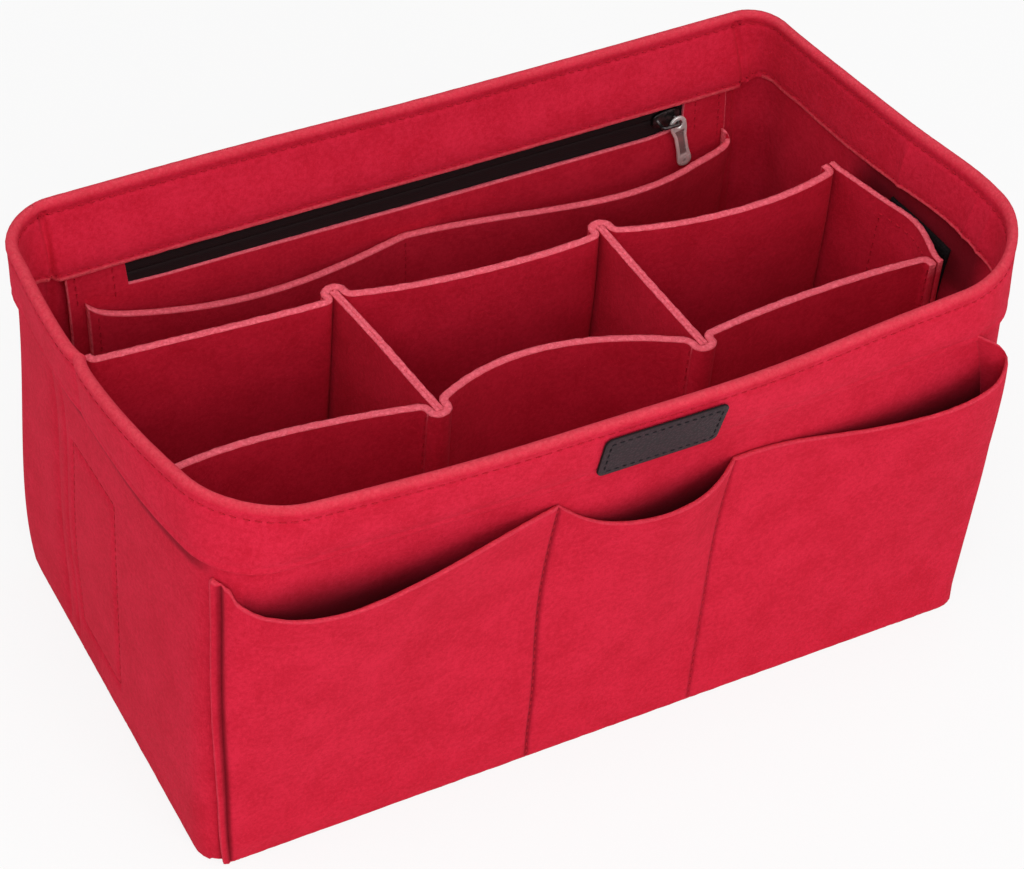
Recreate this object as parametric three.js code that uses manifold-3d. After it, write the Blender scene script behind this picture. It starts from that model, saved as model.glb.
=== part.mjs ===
// Felt bag organizer: an open felt box with a folded rim band, three front pockets, a zipped pocket and two slip
// pockets on the inner back wall, and a lift-out divider with three cells.
// Millimetres, +Z up. The origin is the middle of the base's underside, -Y is the front and +X is to the right.
import * as THREE from 'three';
import { mergeVertices } from 'three/addons/utils/BufferGeometryUtils.js';
import Module from 'manifold-3d';

const wasm = await Module();
wasm.setup();

// Shell sizes
const BASE_LENGTH = 300;
const BASE_DEPTH = 160;
const HEIGHT = 165;
const BASE_CORNER_RADIUS = 10;
const FELT = 1.8;
const BOTTOM_FELT = 2.4;
const SEAM_GAP = 0.3;

// How the rim departs from the base: drawn-in corners, wider radii, walls bowed out and the front racked to +X
const RIM_LENGTH_INSET = 2.6;
const RIM_DEPTH_INSET = 0.9;
const RIM_RADIUS_FRONT_LEFT = 24;
const RIM_RADIUS_FRONT_RIGHT = 34;
const RIM_RADIUS_BACK_RIGHT = 15;
const RIM_RADIUS_BACK_LEFT = 20;
const RIM_BOW_FRONT = 9.5;
const RIM_BOW_RIGHT = 7;
const RIM_BOW_LEFT = 11.5;
const RIM_RACK = 7.8;
const FLARE_POWER = 3;

// Rim band: one felt strip folded over the top edge
const BAND_FELT = 1.4;
const BAND_OUTER_LEG = 26;
const BAND_INNER_LEG = 31;

// Front pocket panel: heights are measured down from the band's outer edge
const POCKET_CORNER_DROP = 11;
const POCKET_SEAM_LEFT_DROP = 12;
const POCKET_SEAM_RIGHT_DROP = 15.5;
const POCKET_CORNER_WRAP = 5;
const POCKET_SEAM_LEFT_X = -31;
const POCKET_SEAM_RIGHT_X = 34;
const LEFT_POCKET = { scoop: 14.5, scoopSkew: 0.75, bulge: 8, bulgeSkew: 0.9 };
const MIDDLE_POCKET = { scoop: 10, scoopSkew: 1.2, bulge: 7.5, bulgeSkew: 1.1 };
const RIGHT_POCKET = { scoop: 7, scoopSkew: 1.1, bulge: 13, bulgeSkew: 3 };

// Lining of the back wall: zip panel, zip and slip pockets
const LINING_LEFT_MARGIN = 22;
const LINING_RIGHT_MARGIN = 19;
const ZIP_LEFT_MARGIN = 24;
const ZIP_RIGHT_MARGIN = 21.5;
const ZIP_UPPER_CLEARANCE = 2.5;
const ZIP_LOWER_CLEARANCE = 0.5;
const ZIP_LIP_SAG = 6;
const NOTCH_EDGE = 0.4;
const TAPE_THICKNESS = 0.5;
const TAPE_LOWER_WIDTH = 13;
const TAPE_UPPER_WIDTH = 6.5;
const COIL_WIDTH = 1.7;
const COIL_THICKNESS = 1.3;
const SLIP_LEFT_DROP = 17;
const SLIP_SEAM_DROP = 27.5;
const SLIP_RIGHT_DROP = 24;
const SLIP_SEAM_X = 2;
const SLIP_LEFT_BULGE = 10;
const SLIP_RIGHT_BULGE = 11.5;
const SLIP_LEFT_SKEW = 0.95;
const SLIP_RIGHT_SKEW = 1.35;
const SLIP_EDGE_SAG = 4;

// Zip slider and pull
const SLIDER_LENGTH = 11;
const SLIDER_WIDTH = 8;
const SLIDER_TAIL_WIDTH = 6;
const SLIDER_NOSE_ROUND = 2.5;
const SLIDER_BACK_PLATE = 0.6;
const SLIDER_FRONT_PLATE = 1.6;
const SLIDER_POST_WIDTH = 1;
const SLIDER_POST_LENGTH = 2.4;
const SLIDER_END_PLAY = 2;
const BAIL_ROD = 1.6;
const BAIL_SPAN = 7;
const PULL_THICKNESS = 1.3;
const PULL_LENGTH = 21;
const PULL_WIDTH = 5.2;
const PULL_WAIST = 3.4;
const PULL_TIP_WIDTH = 4.4;
const PULL_SHOULDER = 4.2;
const PULL_EYE_PLAY = 0.5;
const PULL_LEAN = THREE.MathUtils.degToRad(14);

// Leather label on the front band
const LABEL_LENGTH = 46;
const LABEL_WIDTH = 17;
const LABEL_LEATHER = 1.2;
const LABEL_CENTRE_X = -3.5;
const LABEL_DROP = 6.5;
const LABEL_CORNER = 3.5;

// Hook-and-loop patches
const PATCH_THICKNESS = 1.2;
const PATCH_WIDTH = 33;
const PATCH_HEIGHT = 100;
const LEFT_PATCH_Y = 14;
const RIGHT_PATCH_Y = -18;
const LOOP_PATCH_DROP = 10;
const HOOK_PATCH_DROP = 4;

// Divider insert
const DIVIDER_FELT = 2.2;
const DIVIDER_HEIGHT = 132;
const DIVIDER_DEPTH = 62;
const DIVIDER_SHIFT_X = -0.8;
const DIVIDER_SHIFT_Y = -5.5;
const DIVIDER_TURN = -0.05;
const DIVIDER_SLANT = 2;
const DIVIDER_PLAY = 0.5;
const NUB_DEPTH = 5.5;
const NUB_FILLET = 3;
const BACK_WALL_BOW = 5;
const FRONT_WALL_BOW = { left: 5, middle: 10.5, right: 6.5 };
const LEFT_END_BOW = 1;
const RIGHT_END_BOW = 2.5;

// Numbers of straight lengths that curves are divided into
const DIVISIONS = { wall: 4, leg: 2, fold: 4, pocket: 8, pocketHeight: 6, lip: 14, slip: 12, slipHeight: 5 };
const PATCH_DIVISIONS = 4;
const BOW_DIVISIONS = 8;
const CORNER_DIVISIONS = 4;
const ROD_SIDES = 12;

// Colours and finishes
const felt = (color) => new THREE.MeshStandardMaterial({ color, roughness: 0.95, metalness: 0 });
const FINISHES = {
  outerFelt: () => felt(0xc4203a),
  bandFelt: () => felt(0xcb2640),
  liningFelt: () => felt(0xa8182f),
  dividerFelt: () => felt(0xb01a32),
  tape: () => new THREE.MeshStandardMaterial({ color: 0x15100f, roughness: 0.8, metalness: 0 }),
  coil: () => new THREE.MeshStandardMaterial({ color: 0x0d0b0b, roughness: 0.45, metalness: 0 }),
  nickel: () => new THREE.MeshStandardMaterial({ color: 0xc9c6c2, roughness: 0.28, metalness: 1 }),
  leather: () => new THREE.MeshStandardMaterial({ color: 0x2a2428, roughness: 0.55, metalness: 0 }),
  hookAndLoop: () => new THREE.MeshStandardMaterial({ color: 0x141214, roughness: 0.9, metalness: 0 }),
};

// Heights and depths that follow from the sizes above. Depth is measured inwards from the shell's outer face.
const bandOuterEdge = HEIGHT - BAND_OUTER_LEG;
const bandInnerEdge = HEIGHT - BAND_INNER_LEG;
const floorTop = BOTTOM_FELT + SEAM_GAP;
const bandOuterDepth = -SEAM_GAP - BAND_FELT;
const bandInnerDepth = FELT + SEAM_GAP + BAND_FELT;
const foldRadius = (bandInnerDepth - bandOuterDepth) / 2;
const foldCentre = (bandInnerDepth + bandOuterDepth) / 2;
const foldSpring = HEIGHT - foldRadius;
const sliderBackDepth = FELT + SEAM_GAP;
const coilDepth = sliderBackDepth + SLIDER_BACK_PLATE + SEAM_GAP;
const liningDepth = coilDepth + COIL_THICKNESS + SEAM_GAP;
const liningFront = liningDepth + FELT;
const tapeDepth = liningDepth - SEAM_GAP - TAPE_THICKNESS;
const sliderFaceDepth = liningDepth + SLIDER_FRONT_PLATE;
const pullDepth = Math.max(sliderFaceDepth, liningFront) + SEAM_GAP;
const zipHeight = bandInnerEdge - ZIP_UPPER_CLEARANCE - SLIDER_WIDTH / 2;
const zipLeft = -BASE_LENGTH / 2 + LINING_LEFT_MARGIN + ZIP_LEFT_MARGIN;
const zipRight = BASE_LENGTH / 2 - LINING_RIGHT_MARGIN - ZIP_RIGHT_MARGIN;

// The four sides in order round the shell, each with its outward and forward direction and its two corners.
const CORNER = { frontLeft: 0, frontRight: 1, backRight: 2, backLeft: 3 };
const RIM_RADII = [RIM_RADIUS_FRONT_LEFT, RIM_RADIUS_FRONT_RIGHT, RIM_RADIUS_BACK_RIGHT, RIM_RADIUS_BACK_LEFT];
const SIDES = {
  front: { out: [0, -1], along: [1, 0], start: CORNER.frontLeft, end: CORNER.frontRight },
  right: { out: [1, 0], along: [0, 1], start: CORNER.frontRight, end: CORNER.backRight },
  back: { out: [0, 1], along: [-1, 0], start: CORNER.backRight, end: CORNER.backLeft },
  left: { out: [-1, 0], along: [0, -1], start: CORNER.backLeft, end: CORNER.frontLeft },
};

// Share of the rim's departure reached at a height.
const flare = (z) => Math.pow(THREE.MathUtils.clamp(z / HEIGHT, 0, 1), FLARE_POWER);
const halfLength = (z) => BASE_LENGTH / 2 - RIM_LENGTH_INSET * flare(z);
const halfDepth = (z) => BASE_DEPTH / 2 - RIM_DEPTH_INSET * flare(z);
const cornerRadius = (corner, z) => THREE.MathUtils.lerp(BASE_CORNER_RADIUS, RIM_RADII[corner], flare(z));

// Moves a point of the straight-sided outline to the bowed and racked one.
function bowed(x, y, z) {
  const share = flare(z);
  const tx = Math.min(1, Math.abs(x) / halfLength(z));
  const ty = Math.min(1, Math.abs(y) / halfDepth(z));
  const bowX = x < 0 ? RIM_BOW_LEFT : RIM_BOW_RIGHT;
  const bowY = y < 0 ? RIM_BOW_FRONT : 0;
  const movedX = x + Math.sign(x) * bowX * share * (1 - ty * ty) * tx - (RIM_RACK * share * y) / halfDepth(z);
  const movedY = y + Math.sign(y) * bowY * share * (1 - tx * tx) * ty;
  return new THREE.Vector3(movedX, movedY, z);
}

// Length of a side's half, from its middle to the middle of one corner's arc.
function halfGirth(side, u, z) {
  const radius = cornerRadius(u < 0 ? side.start : side.end, z);
  const half = side.along[0] === 0 ? halfDepth(z) : halfLength(z);
  return { radius, half, straight: half - radius, girth: half - radius + (radius * Math.PI) / 4 };
}

// Point on a side at place u, from -1 to 1 between the middles of its corners, at a height and depth.
function shellPoint(side, u, z, depth) {
  const { radius, straight, girth } = halfGirth(side, u, z);
  const across = side.along[0] === 0 ? halfLength(z) : halfDepth(z);
  const run = Math.abs(u) * girth;
  const turn = Math.max(0, run - straight) / radius;
  const reach = radius - depth;
  const forward = Math.sign(u) * (Math.min(run, straight) + reach * Math.sin(turn));
  const outward = across - radius + reach * Math.cos(turn);
  const x = side.along[0] * forward + side.out[0] * outward;
  const y = side.along[1] * forward + side.out[1] * outward;
  return bowed(x, y, z);
}

// Point on a side's flat stretch at place w, in millimetres along X or Y.
function flatPoint(side, w, z, depth) {
  const x = side.out[0] === 0 ? w : side.out[0] * (halfLength(z) - depth);
  const y = side.out[1] === 0 ? w : side.out[1] * (halfDepth(z) - depth);
  return bowed(x, y, z);
}

// Closed sheet of felt: a grid of places by levels with two faces, at(place, level, face) giving each corner.
// Each square of the grid is split along its shorter diagonal, so that sheets that lie on each other stay parallel.
function sheet(places, levels, at) {
  const rows = places.length;
  const columns = levels.length;
  const points = [];
  for (const face of [0, 1]) {
    for (const place of places) {
      for (const level of levels) {
        points.push(at(place, level, face));
      }
    }
  }
  const index = (row, column, face) => face * rows * columns + row * columns + column;
  const triangles = [];
  const quad = (a, b, c, d) => triangles.push(a, b, c, a, c, d);
  for (let row = 0; row < rows - 1; row += 1) {
    for (let column = 0; column < columns - 1; column += 1) {
      const corners = [[row, column], [row + 1, column], [row + 1, column + 1], [row, column + 1]];
      const [a, b, c, d] = corners.map(([r, k]) => points[index(r, k, 0)]);
      if (b.distanceTo(d) < a.distanceTo(c)) {
        corners.push(corners.shift());
      }
      quad(...corners.map(([r, k]) => index(r, k, 0)));
      const [first, ...others] = corners.map(([r, k]) => index(r, k, 1));
      quad(first, ...others.reverse());
    }
  }
  for (let row = 0; row < rows - 1; row += 1) {
    quad(index(row + 1, 0, 0), index(row, 0, 0), index(row, 0, 1), index(row + 1, 0, 1));
    const last = columns - 1;
    quad(index(row, last, 0), index(row + 1, last, 0), index(row + 1, last, 1), index(row, last, 1));
  }
  for (let column = 0; column < columns - 1; column += 1) {
    quad(index(0, column, 0), index(0, column + 1, 0), index(0, column + 1, 1), index(0, column, 1));
    const last = rows - 1;
    quad(index(last, column + 1, 0), index(last, column, 0), index(last, column, 1), index(last, column + 1, 1));
  }
  return closedGeometry(points, triangles);
}

// Geometry of a closed surface with its faces turned outwards.
function closedGeometry(points, triangles) {
  let volume = 0;
  for (let i = 0; i < triangles.length; i += 3) {
    const [a, b, c] = triangles.slice(i, i + 3).map((k) => points[k]);
    volume += a.dot(b.clone().cross(c));
  }
  if (volume < 0) {
    triangles.reverse();
  }
  const geometry = new THREE.BufferGeometry().setFromPoints(points);
  geometry.setIndex(triangles);
  return geometry;
}

// Evenly spaced values from first to last.
const spaced = (first, last, count) =>
  Array.from({ length: count + 1 }, (_, k) => THREE.MathUtils.lerp(first, last, k / count));

// Shares of a side's half at which its sheets are divided.
const CORNER_START = 0.8;
const LONG_SIDE_PLACES = [0.3, 0.6, CORNER_START, 0.87, 0.92, 0.95, 0.975];
const SHORT_SIDE_PLACES = [0.35, 0.58, 0.7, 0.8, 0.88, 0.94];

// Places along a side, closer together where a corner turns, ending half a seam gap short of the corner's middle.
function sidePlaces(side) {
  const girth = halfGirth(side, 1, 0).girth;
  const end = 1 - SEAM_GAP / 2 / girth;
  const half = [...(side.along[0] === 0 ? SHORT_SIDE_PLACES : LONG_SIDE_PLACES), end];
  return [...half.map((u) => -u).reverse(), 0, ...half];
}

const organizer = new THREE.Group();
function addPiece(name, geometry, finish, parent = organizer) {
  const mesh = new THREE.Mesh(geometry, FINISHES[finish]());
  mesh.name = name;
  parent.add(mesh);
  return mesh;
}

// Base: a rounded felt rectangle that follows the inner face of the walls.
function bottomPanel() {
  const outline = Object.values(SIDES).flatMap((side) =>
    sidePlaces(side).map((u) => shellPoint(side, u, 0, FELT + SEAM_GAP)));
  return new THREE.ExtrudeGeometry(new THREE.Shape(outline), { depth: BOTTOM_FELT, bevelEnabled: false });
}

// Height that a wall's raw top edge reaches inside the fold of the band.
const foldHollow = foldRadius - BAND_FELT;
const wallTop = foldSpring + Math.sqrt(Math.max(0, foldHollow ** 2 - (FELT / 2) ** 2)) - SEAM_GAP;

// Heights at which the walls and the band's legs are divided together, so that their layers stay parallel.
const bandLevels = [bandInnerEdge, bandOuterEdge].sort((a, b) => a - b);
bandLevels.push(...spaced(bandLevels[1], foldSpring, DIVISIONS.leg).slice(1));

function wallPanel(side) {
  const levels = [...spaced(0, bandLevels[0], DIVISIONS.wall), ...bandLevels.slice(1), wallTop];
  return sheet(sidePlaces(side), levels, (u, z, face) => shellPoint(side, u, z, face * FELT));
}

// The band is a sheet whose levels follow the fold: up the outer leg, round the top and down the inner leg.
function rimBand(side, innerEdgeDepth) {
  const lean = (z) => ((innerEdgeDepth - FELT - SEAM_GAP) * (foldSpring - z)) / (foldSpring - bandInnerEdge);
  const legs = bandLevels.filter((z) => z >= bandOuterEdge);
  const levels = legs.map((z) => ({ z, depth: [bandOuterDepth, bandOuterDepth + BAND_FELT] }));
  for (const turn of spaced(Math.PI, 0, DIVISIONS.fold).slice(1, -1)) {
    const faces = [foldRadius, foldHollow];
    levels.push({
      z: faces.map((r) => foldSpring + r * Math.sin(turn)),
      depth: faces.map((r) => foldCentre + r * Math.cos(turn)),
    });
  }
  for (const z of bandLevels.filter((level) => level >= bandInnerEdge).reverse()) {
    const inner = bandInnerDepth + lean(z);
    levels.push({ z, depth: [inner, inner - BAND_FELT] });
  }
  const height = (level, face) => (Array.isArray(level.z) ? level.z[face] : level.z);
  return sheet(sidePlaces(side), levels, (u, level, face) =>
    shellPoint(side, u, height(level, face), level.depth[face]));
}

// A pocket mouth between two seams: scoop gives how far its edge dips and bulge how far it stands out.
const swell = (share, skew) => Math.sin(Math.PI * Math.pow(THREE.MathUtils.clamp(share, 0, 1), skew));

// Shapes of the pocket mouths: how square a scoop is, and how steeply a bulge grows with height.
const SCOOP_FULLNESS = 1.5;
const BULGE_RISE = 1.6;

// Front pockets: places are X at the base, from corner to corner.
function frontPocketPanel() {
  const side = SIDES.front;
  const girth = halfGirth(side, 1, 0).girth;
  const end = girth - SEAM_GAP / 2;
  const cornerTop = bandOuterEdge - POCKET_CORNER_DROP;
  const leftTop = bandOuterEdge - POCKET_SEAM_LEFT_DROP;
  const rightTop = bandOuterEdge - POCKET_SEAM_RIGHT_DROP;
  const pockets = [
    { from: -end, to: POCKET_SEAM_LEFT_X, tops: [cornerTop, leftTop], ...LEFT_POCKET },
    { from: POCKET_SEAM_LEFT_X, to: POCKET_SEAM_RIGHT_X, tops: [leftTop, rightTop], ...MIDDLE_POCKET },
    { from: POCKET_SEAM_RIGHT_X, to: end, tops: [rightTop, cornerTop], ...RIGHT_POCKET },
  ];
  const corner = sidePlaces(side).filter((u) => u > CORNER_START).map((u) => u * girth);
  const flatEnd = CORNER_START * girth;
  const places = [
    ...corner.map((x) => -x).reverse(),
    ...spaced(-flatEnd, POCKET_SEAM_LEFT_X, DIVISIONS.pocket),
    ...spaced(POCKET_SEAM_LEFT_X, POCKET_SEAM_RIGHT_X, DIVISIONS.pocket).slice(1, -1),
    ...spaced(POCKET_SEAM_RIGHT_X, flatEnd, DIVISIONS.pocket),
    ...corner,
  ];
  const levels = spaced(0, 1, DIVISIONS.pocketHeight);
  return sheet(places, levels, (place, level, face) => {
    const pocket = pockets.find((each) => place <= each.to) ?? pockets[2];
    const share = (place - pocket.from) / (pocket.to - pocket.from);
    const dip = pocket.scoop * Math.pow(Math.max(0, swell(share, pocket.scoopSkew)), SCOOP_FULLNESS);
    const z = level * (THREE.MathUtils.lerp(...pocket.tops, share) - dip);
    const bulge = pocket.bulge * Math.max(0, swell(share, pocket.bulgeSkew)) * Math.pow(level, BULGE_RISE);
    const depth = -SEAM_GAP - bulge - (face === 0 ? FELT : 0);
    const past = Math.max(0, Math.abs(place) - flatEnd) / (end - flatEnd);
    const wrap = Math.sign(place) * POCKET_CORNER_WRAP * past * level * level;
    return shellPoint(side, (place + wrap) / girth, z, depth);
  });
}

// Zip panel: lines the back wall, with a notch at its top that the band's edge closes into the zip's slot.
function zipPanel() {
  const left = -BASE_LENGTH / 2 + LINING_LEFT_MARGIN;
  const right = BASE_LENGTH / 2 - LINING_RIGHT_MARGIN;
  const top = bandInnerEdge - SEAM_GAP;
  const slot = spaced(zipLeft, zipRight, DIVISIONS.lip);
  const places = [left, zipLeft - NOTCH_EDGE, ...slot, zipRight + NOTCH_EDGE, right];
  const heightAt = (x) => (x < zipLeft || x > zipRight ? top : zipHeight - zipLip(x));
  return sheet(places, [0, 1], (x, level, face) =>
    flatPoint(SIDES.back, x, THREE.MathUtils.lerp(floorTop, heightAt(x), level), liningDepth + face * FELT));
}

// Distance of the slot's lower lip below the zip's chain.
function zipLip(x) {
  const share = Math.max(0, Math.sin((Math.PI * (x - zipLeft)) / (zipRight - zipLeft)));
  return SLIDER_WIDTH / 2 + ZIP_LOWER_CLEARANCE + ZIP_LIP_SAG * Math.sqrt(share);
}

// A straight strip of the zip on the back wall between two heights.
function zipStrip(low, high, depth, thickness) {
  const ends = [zipLeft - ZIP_LEFT_MARGIN / 2, zipRight + ZIP_RIGHT_MARGIN / 2];
  return sheet(ends, [low, high], (x, z, face) => flatPoint(SIDES.back, x, z, depth + face * thickness));
}

const chainGap = SLIDER_POST_WIDTH + 2 * SEAM_GAP;

function slipPocketPanel() {
  const seamTop = bandInnerEdge - SLIP_SEAM_DROP;
  const pockets = [
    {
      from: -BASE_LENGTH / 2 + LINING_LEFT_MARGIN,
      to: SLIP_SEAM_X,
      tops: [bandInnerEdge - SLIP_LEFT_DROP, seamTop],
      bulge: SLIP_LEFT_BULGE,
      skew: SLIP_LEFT_SKEW,
    },
    {
      from: SLIP_SEAM_X,
      to: BASE_LENGTH / 2 - LINING_RIGHT_MARGIN,
      tops: [seamTop, bandInnerEdge - SLIP_RIGHT_DROP],
      bulge: SLIP_RIGHT_BULGE,
      skew: SLIP_RIGHT_SKEW,
    },
  ];
  const places = pockets.flatMap((pocket, k) => spaced(pocket.from, pocket.to, DIVISIONS.slip).slice(k === 0 ? 0 : 1));
  return sheet(places, spaced(0, 1, DIVISIONS.slipHeight), (x, level, face) => {
    const pocket = pockets.find((each) => x <= each.to) ?? pockets[1];
    const share = (x - pocket.from) / (pocket.to - pocket.from);
    const out = Math.max(0, swell(share, pocket.skew));
    const top = THREE.MathUtils.lerp(...pocket.tops, share) - SLIP_EDGE_SAG * out;
    const depth = liningFront + SEAM_GAP + pocket.bulge * out * Math.pow(level, BULGE_RISE) + face * FELT;
    return flatPoint(SIDES.back, x, THREE.MathUtils.lerp(floorTop, top, level), depth);
  });
}

// Label: a leather rectangle with rounded corners on the front band's outer leg.
function labelPatch() {
  const half = LABEL_LENGTH / 2;
  const turns = spaced(0, Math.PI / 2, CORNER_DIVISIONS).map((turn) => half - LABEL_CORNER * (1 - Math.sin(turn)));
  const places = [...turns.map((x) => -x).reverse(), 0, ...turns];
  const middle = HEIGHT - LABEL_DROP - LABEL_WIDTH / 2;
  return sheet(places, [-1, 0, 1], (x, level, face) => {
    const past = Math.max(0, Math.abs(x) - half + LABEL_CORNER);
    const reach = LABEL_WIDTH / 2 - LABEL_CORNER + Math.sqrt(Math.max(0, LABEL_CORNER ** 2 - past ** 2));
    const depth = bandOuterDepth - SEAM_GAP - (face === 0 ? LABEL_LEATHER : 0);
    return flatPoint(SIDES.front, LABEL_CENTRE_X + x, middle + level * reach, depth);
  });
}

function loopPatch(side, centreY) {
  const places = spaced(centreY - PATCH_WIDTH / 2, centreY + PATCH_WIDTH / 2, PATCH_DIVISIONS);
  const top = bandInnerEdge - LOOP_PATCH_DROP;
  const levels = spaced(Math.max(floorTop, top - PATCH_HEIGHT), top, PATCH_DIVISIONS);
  return sheet(places, levels, (y, z, face) => flatPoint(side, y, z, FELT + SEAM_GAP + face * PATCH_THICKNESS));
}

addPiece('bottom_panel', bottomPanel(), 'outerFelt');
for (const [name, side] of Object.entries(SIDES)) {
  addPiece(`${name}_panel`, wallPanel(side), 'outerFelt');
  const legDepth = name === 'back' ? liningDepth : FELT + SEAM_GAP;
  addPiece(`rim_band_${name}`, rimBand(side, legDepth), 'bandFelt');
}
addPiece('front_pocket_panel', frontPocketPanel(), 'outerFelt');
addPiece('zip_pocket_panel', zipPanel(), 'liningFelt');
addPiece('slip_pocket_panel', slipPocketPanel(), 'liningFelt');
const upperCoil = zipHeight + chainGap / 2;
const lowerCoil = zipHeight - chainGap / 2;
const upperTape = upperCoil + COIL_WIDTH + SEAM_GAP;
const lowerTape = lowerCoil - COIL_WIDTH - SEAM_GAP;
addPiece('zip_coil_upper', zipStrip(upperCoil, upperCoil + COIL_WIDTH, coilDepth, COIL_THICKNESS), 'coil');
addPiece('zip_coil_lower', zipStrip(lowerCoil - COIL_WIDTH, lowerCoil, coilDepth, COIL_THICKNESS), 'coil');
addPiece('zip_tape_upper', zipStrip(upperTape, upperTape + TAPE_UPPER_WIDTH, tapeDepth, TAPE_THICKNESS), 'tape');
addPiece('zip_tape_lower', zipStrip(lowerTape - TAPE_LOWER_WIDTH, lowerTape, tapeDepth, TAPE_THICKNESS), 'tape');
addPiece('label_patch', labelPatch(), 'leather');
addPiece('loop_patch_left', loopPatch(SIDES.left, LEFT_PATCH_Y), 'hookAndLoop');
addPiece('loop_patch_right', loopPatch(SIDES.right, RIGHT_PATCH_Y), 'hookAndLoop');

// Booleans on closed geometries.
function solidOf(geometry) {
  const bare = new THREE.BufferGeometry().setAttribute('position', geometry.getAttribute('position'));
  bare.setIndex(geometry.getIndex());
  const merged = mergeVertices(bare, 1e-4);
  const vertProperties = new Float32Array(merged.getAttribute('position').array);
  const triVerts = new Uint32Array(merged.getIndex().array);
  return new wasm.Manifold(new wasm.Mesh({ numProp: 3, vertProperties, triVerts }));
}

function joined(geometries) {
  const whole = geometries.map(solidOf).reduce((sum, each) => sum.add(each)).getMesh();
  const geometry = new THREE.BufferGeometry();
  geometry.setAttribute('position', new THREE.BufferAttribute(whole.vertProperties, 3));
  geometry.setIndex(new THREE.BufferAttribute(whole.triVerts, 1));
  return geometry;
}

// Zip slider: two plates round the chain, a post between the coils and a bail in front.
// Its local frame has Y as the depth into the wall and its origin at the middle of the front plate's face.
const sliderX = zipRight - SLIDER_LENGTH / 2 - SLIDER_END_PLAY;
const sliderOrigin = flatPoint(SIDES.back, sliderX, zipHeight, sliderFaceDepth);
const pullStandoff = pullDepth - sliderFaceDepth;
const bailReach = pullStandoff + PULL_THICKNESS + SEAM_GAP + BAIL_ROD / 2;

function plateOutline() {
  const nose = SLIDER_LENGTH / 2;
  const wide = SLIDER_WIDTH / 2;
  const narrow = SLIDER_TAIL_WIDTH / 2;
  const shoulder = nose - SLIDER_NOSE_ROUND;
  const flat = wide - SLIDER_NOSE_ROUND;
  const outline = new THREE.Shape();
  outline.moveTo(-nose, -narrow);
  outline.lineTo(shoulder, -wide);
  outline.quadraticCurveTo(nose, -wide, nose, -flat);
  outline.lineTo(nose, flat);
  outline.quadraticCurveTo(nose, wide, shoulder, wide);
  outline.lineTo(-nose, narrow);
  outline.closePath();
  return outline;
}

// A plate lying in X and Z, whose thickness runs from one depth to a deeper one.
function plate(depth, thickness) {
  const geometry = new THREE.ExtrudeGeometry(plateOutline(), {
    depth: thickness,
    bevelEnabled: false,
    curveSegments: CORNER_DIVISIONS,
  });
  return geometry.rotateX(Math.PI / 2).translate(0, depth + thickness, 0);
}

function zipSlider() {
  const inward = (depth) => sliderFaceDepth - depth;
  const backPlate = inward(sliderBackDepth + SLIDER_BACK_PLATE);
  const postReach = backPlate + SLIDER_BACK_PLATE / 2 - SLIDER_FRONT_PLATE / 2;
  const post = new THREE.BoxGeometry(SLIDER_POST_LENGTH, postReach, SLIDER_POST_WIDTH);
  post.translate(SLIDER_LENGTH / 2 - SLIDER_POST_LENGTH, (SLIDER_FRONT_PLATE + postReach) / 2, 0);
  const leg = (x) => {
    const rod = new THREE.CylinderGeometry(BAIL_ROD / 2, BAIL_ROD / 2, bailReach + SLIDER_FRONT_PLATE / 2, ROD_SIDES);
    return rod.translate(x, (SLIDER_FRONT_PLATE / 2 - bailReach) / 2, 0);
  };
  const bar = new THREE.CapsuleGeometry(BAIL_ROD / 2, BAIL_SPAN, CORNER_DIVISIONS, ROD_SIDES);
  bar.rotateZ(Math.PI / 2).translate(0, -bailReach, 0);
  return joined([
    plate(0, SLIDER_FRONT_PLATE),
    plate(backPlate, SLIDER_BACK_PLATE),
    post,
    leg(BAIL_SPAN / 2),
    leg(-BAIL_SPAN / 2),
    bar,
  ]);
}

// Zip pull: a flat waisted tab whose eye turns on the bail's right leg.
function zipPull() {
  const head = PULL_WIDTH / 2;
  const tip = PULL_TIP_WIDTH / 2;
  const waist = PULL_WAIST / 2;
  const tipCentre = tip - PULL_LENGTH;
  const waistTop = -PULL_SHOULDER - head;
  const waistEnd = tipCentre + PULL_TIP_WIDTH;
  const outline = new THREE.Shape();
  outline.absarc(0, 0, head, 0, Math.PI);
  outline.lineTo(-head, -PULL_SHOULDER);
  outline.quadraticCurveTo(-waist, waistTop, -waist, waistEnd);
  outline.quadraticCurveTo(-waist, tipCentre + tip, -tip, tipCentre);
  outline.absarc(0, tipCentre, tip, Math.PI, 2 * Math.PI);
  outline.quadraticCurveTo(waist, tipCentre + tip, waist, waistEnd);
  outline.quadraticCurveTo(waist, waistTop, head, -PULL_SHOULDER);
  outline.closePath();
  const hole = new THREE.Path();
  hole.absarc(0, 0, BAIL_ROD / 2 + PULL_EYE_PLAY, 0, 2 * Math.PI, true);
  outline.holes.push(hole);
  const geometry = new THREE.ExtrudeGeometry(outline, {
    depth: PULL_THICKNESS,
    bevelEnabled: false,
    curveSegments: ROD_SIDES / 2,
  });
  return geometry.rotateX(Math.PI / 2);
}

const slider = new THREE.Group();
slider.position.copy(sliderOrigin);
organizer.add(slider);
addPiece('zip_slider', zipSlider(), 'nickel', slider);
const pull = new THREE.Group();
pull.position.set(BAIL_SPAN / 2, -pullStandoff, 0);
pull.rotation.y = -PULL_LEAN;
slider.add(pull);
addPiece('zip_pull', zipPull(), 'nickel', pull);

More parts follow.
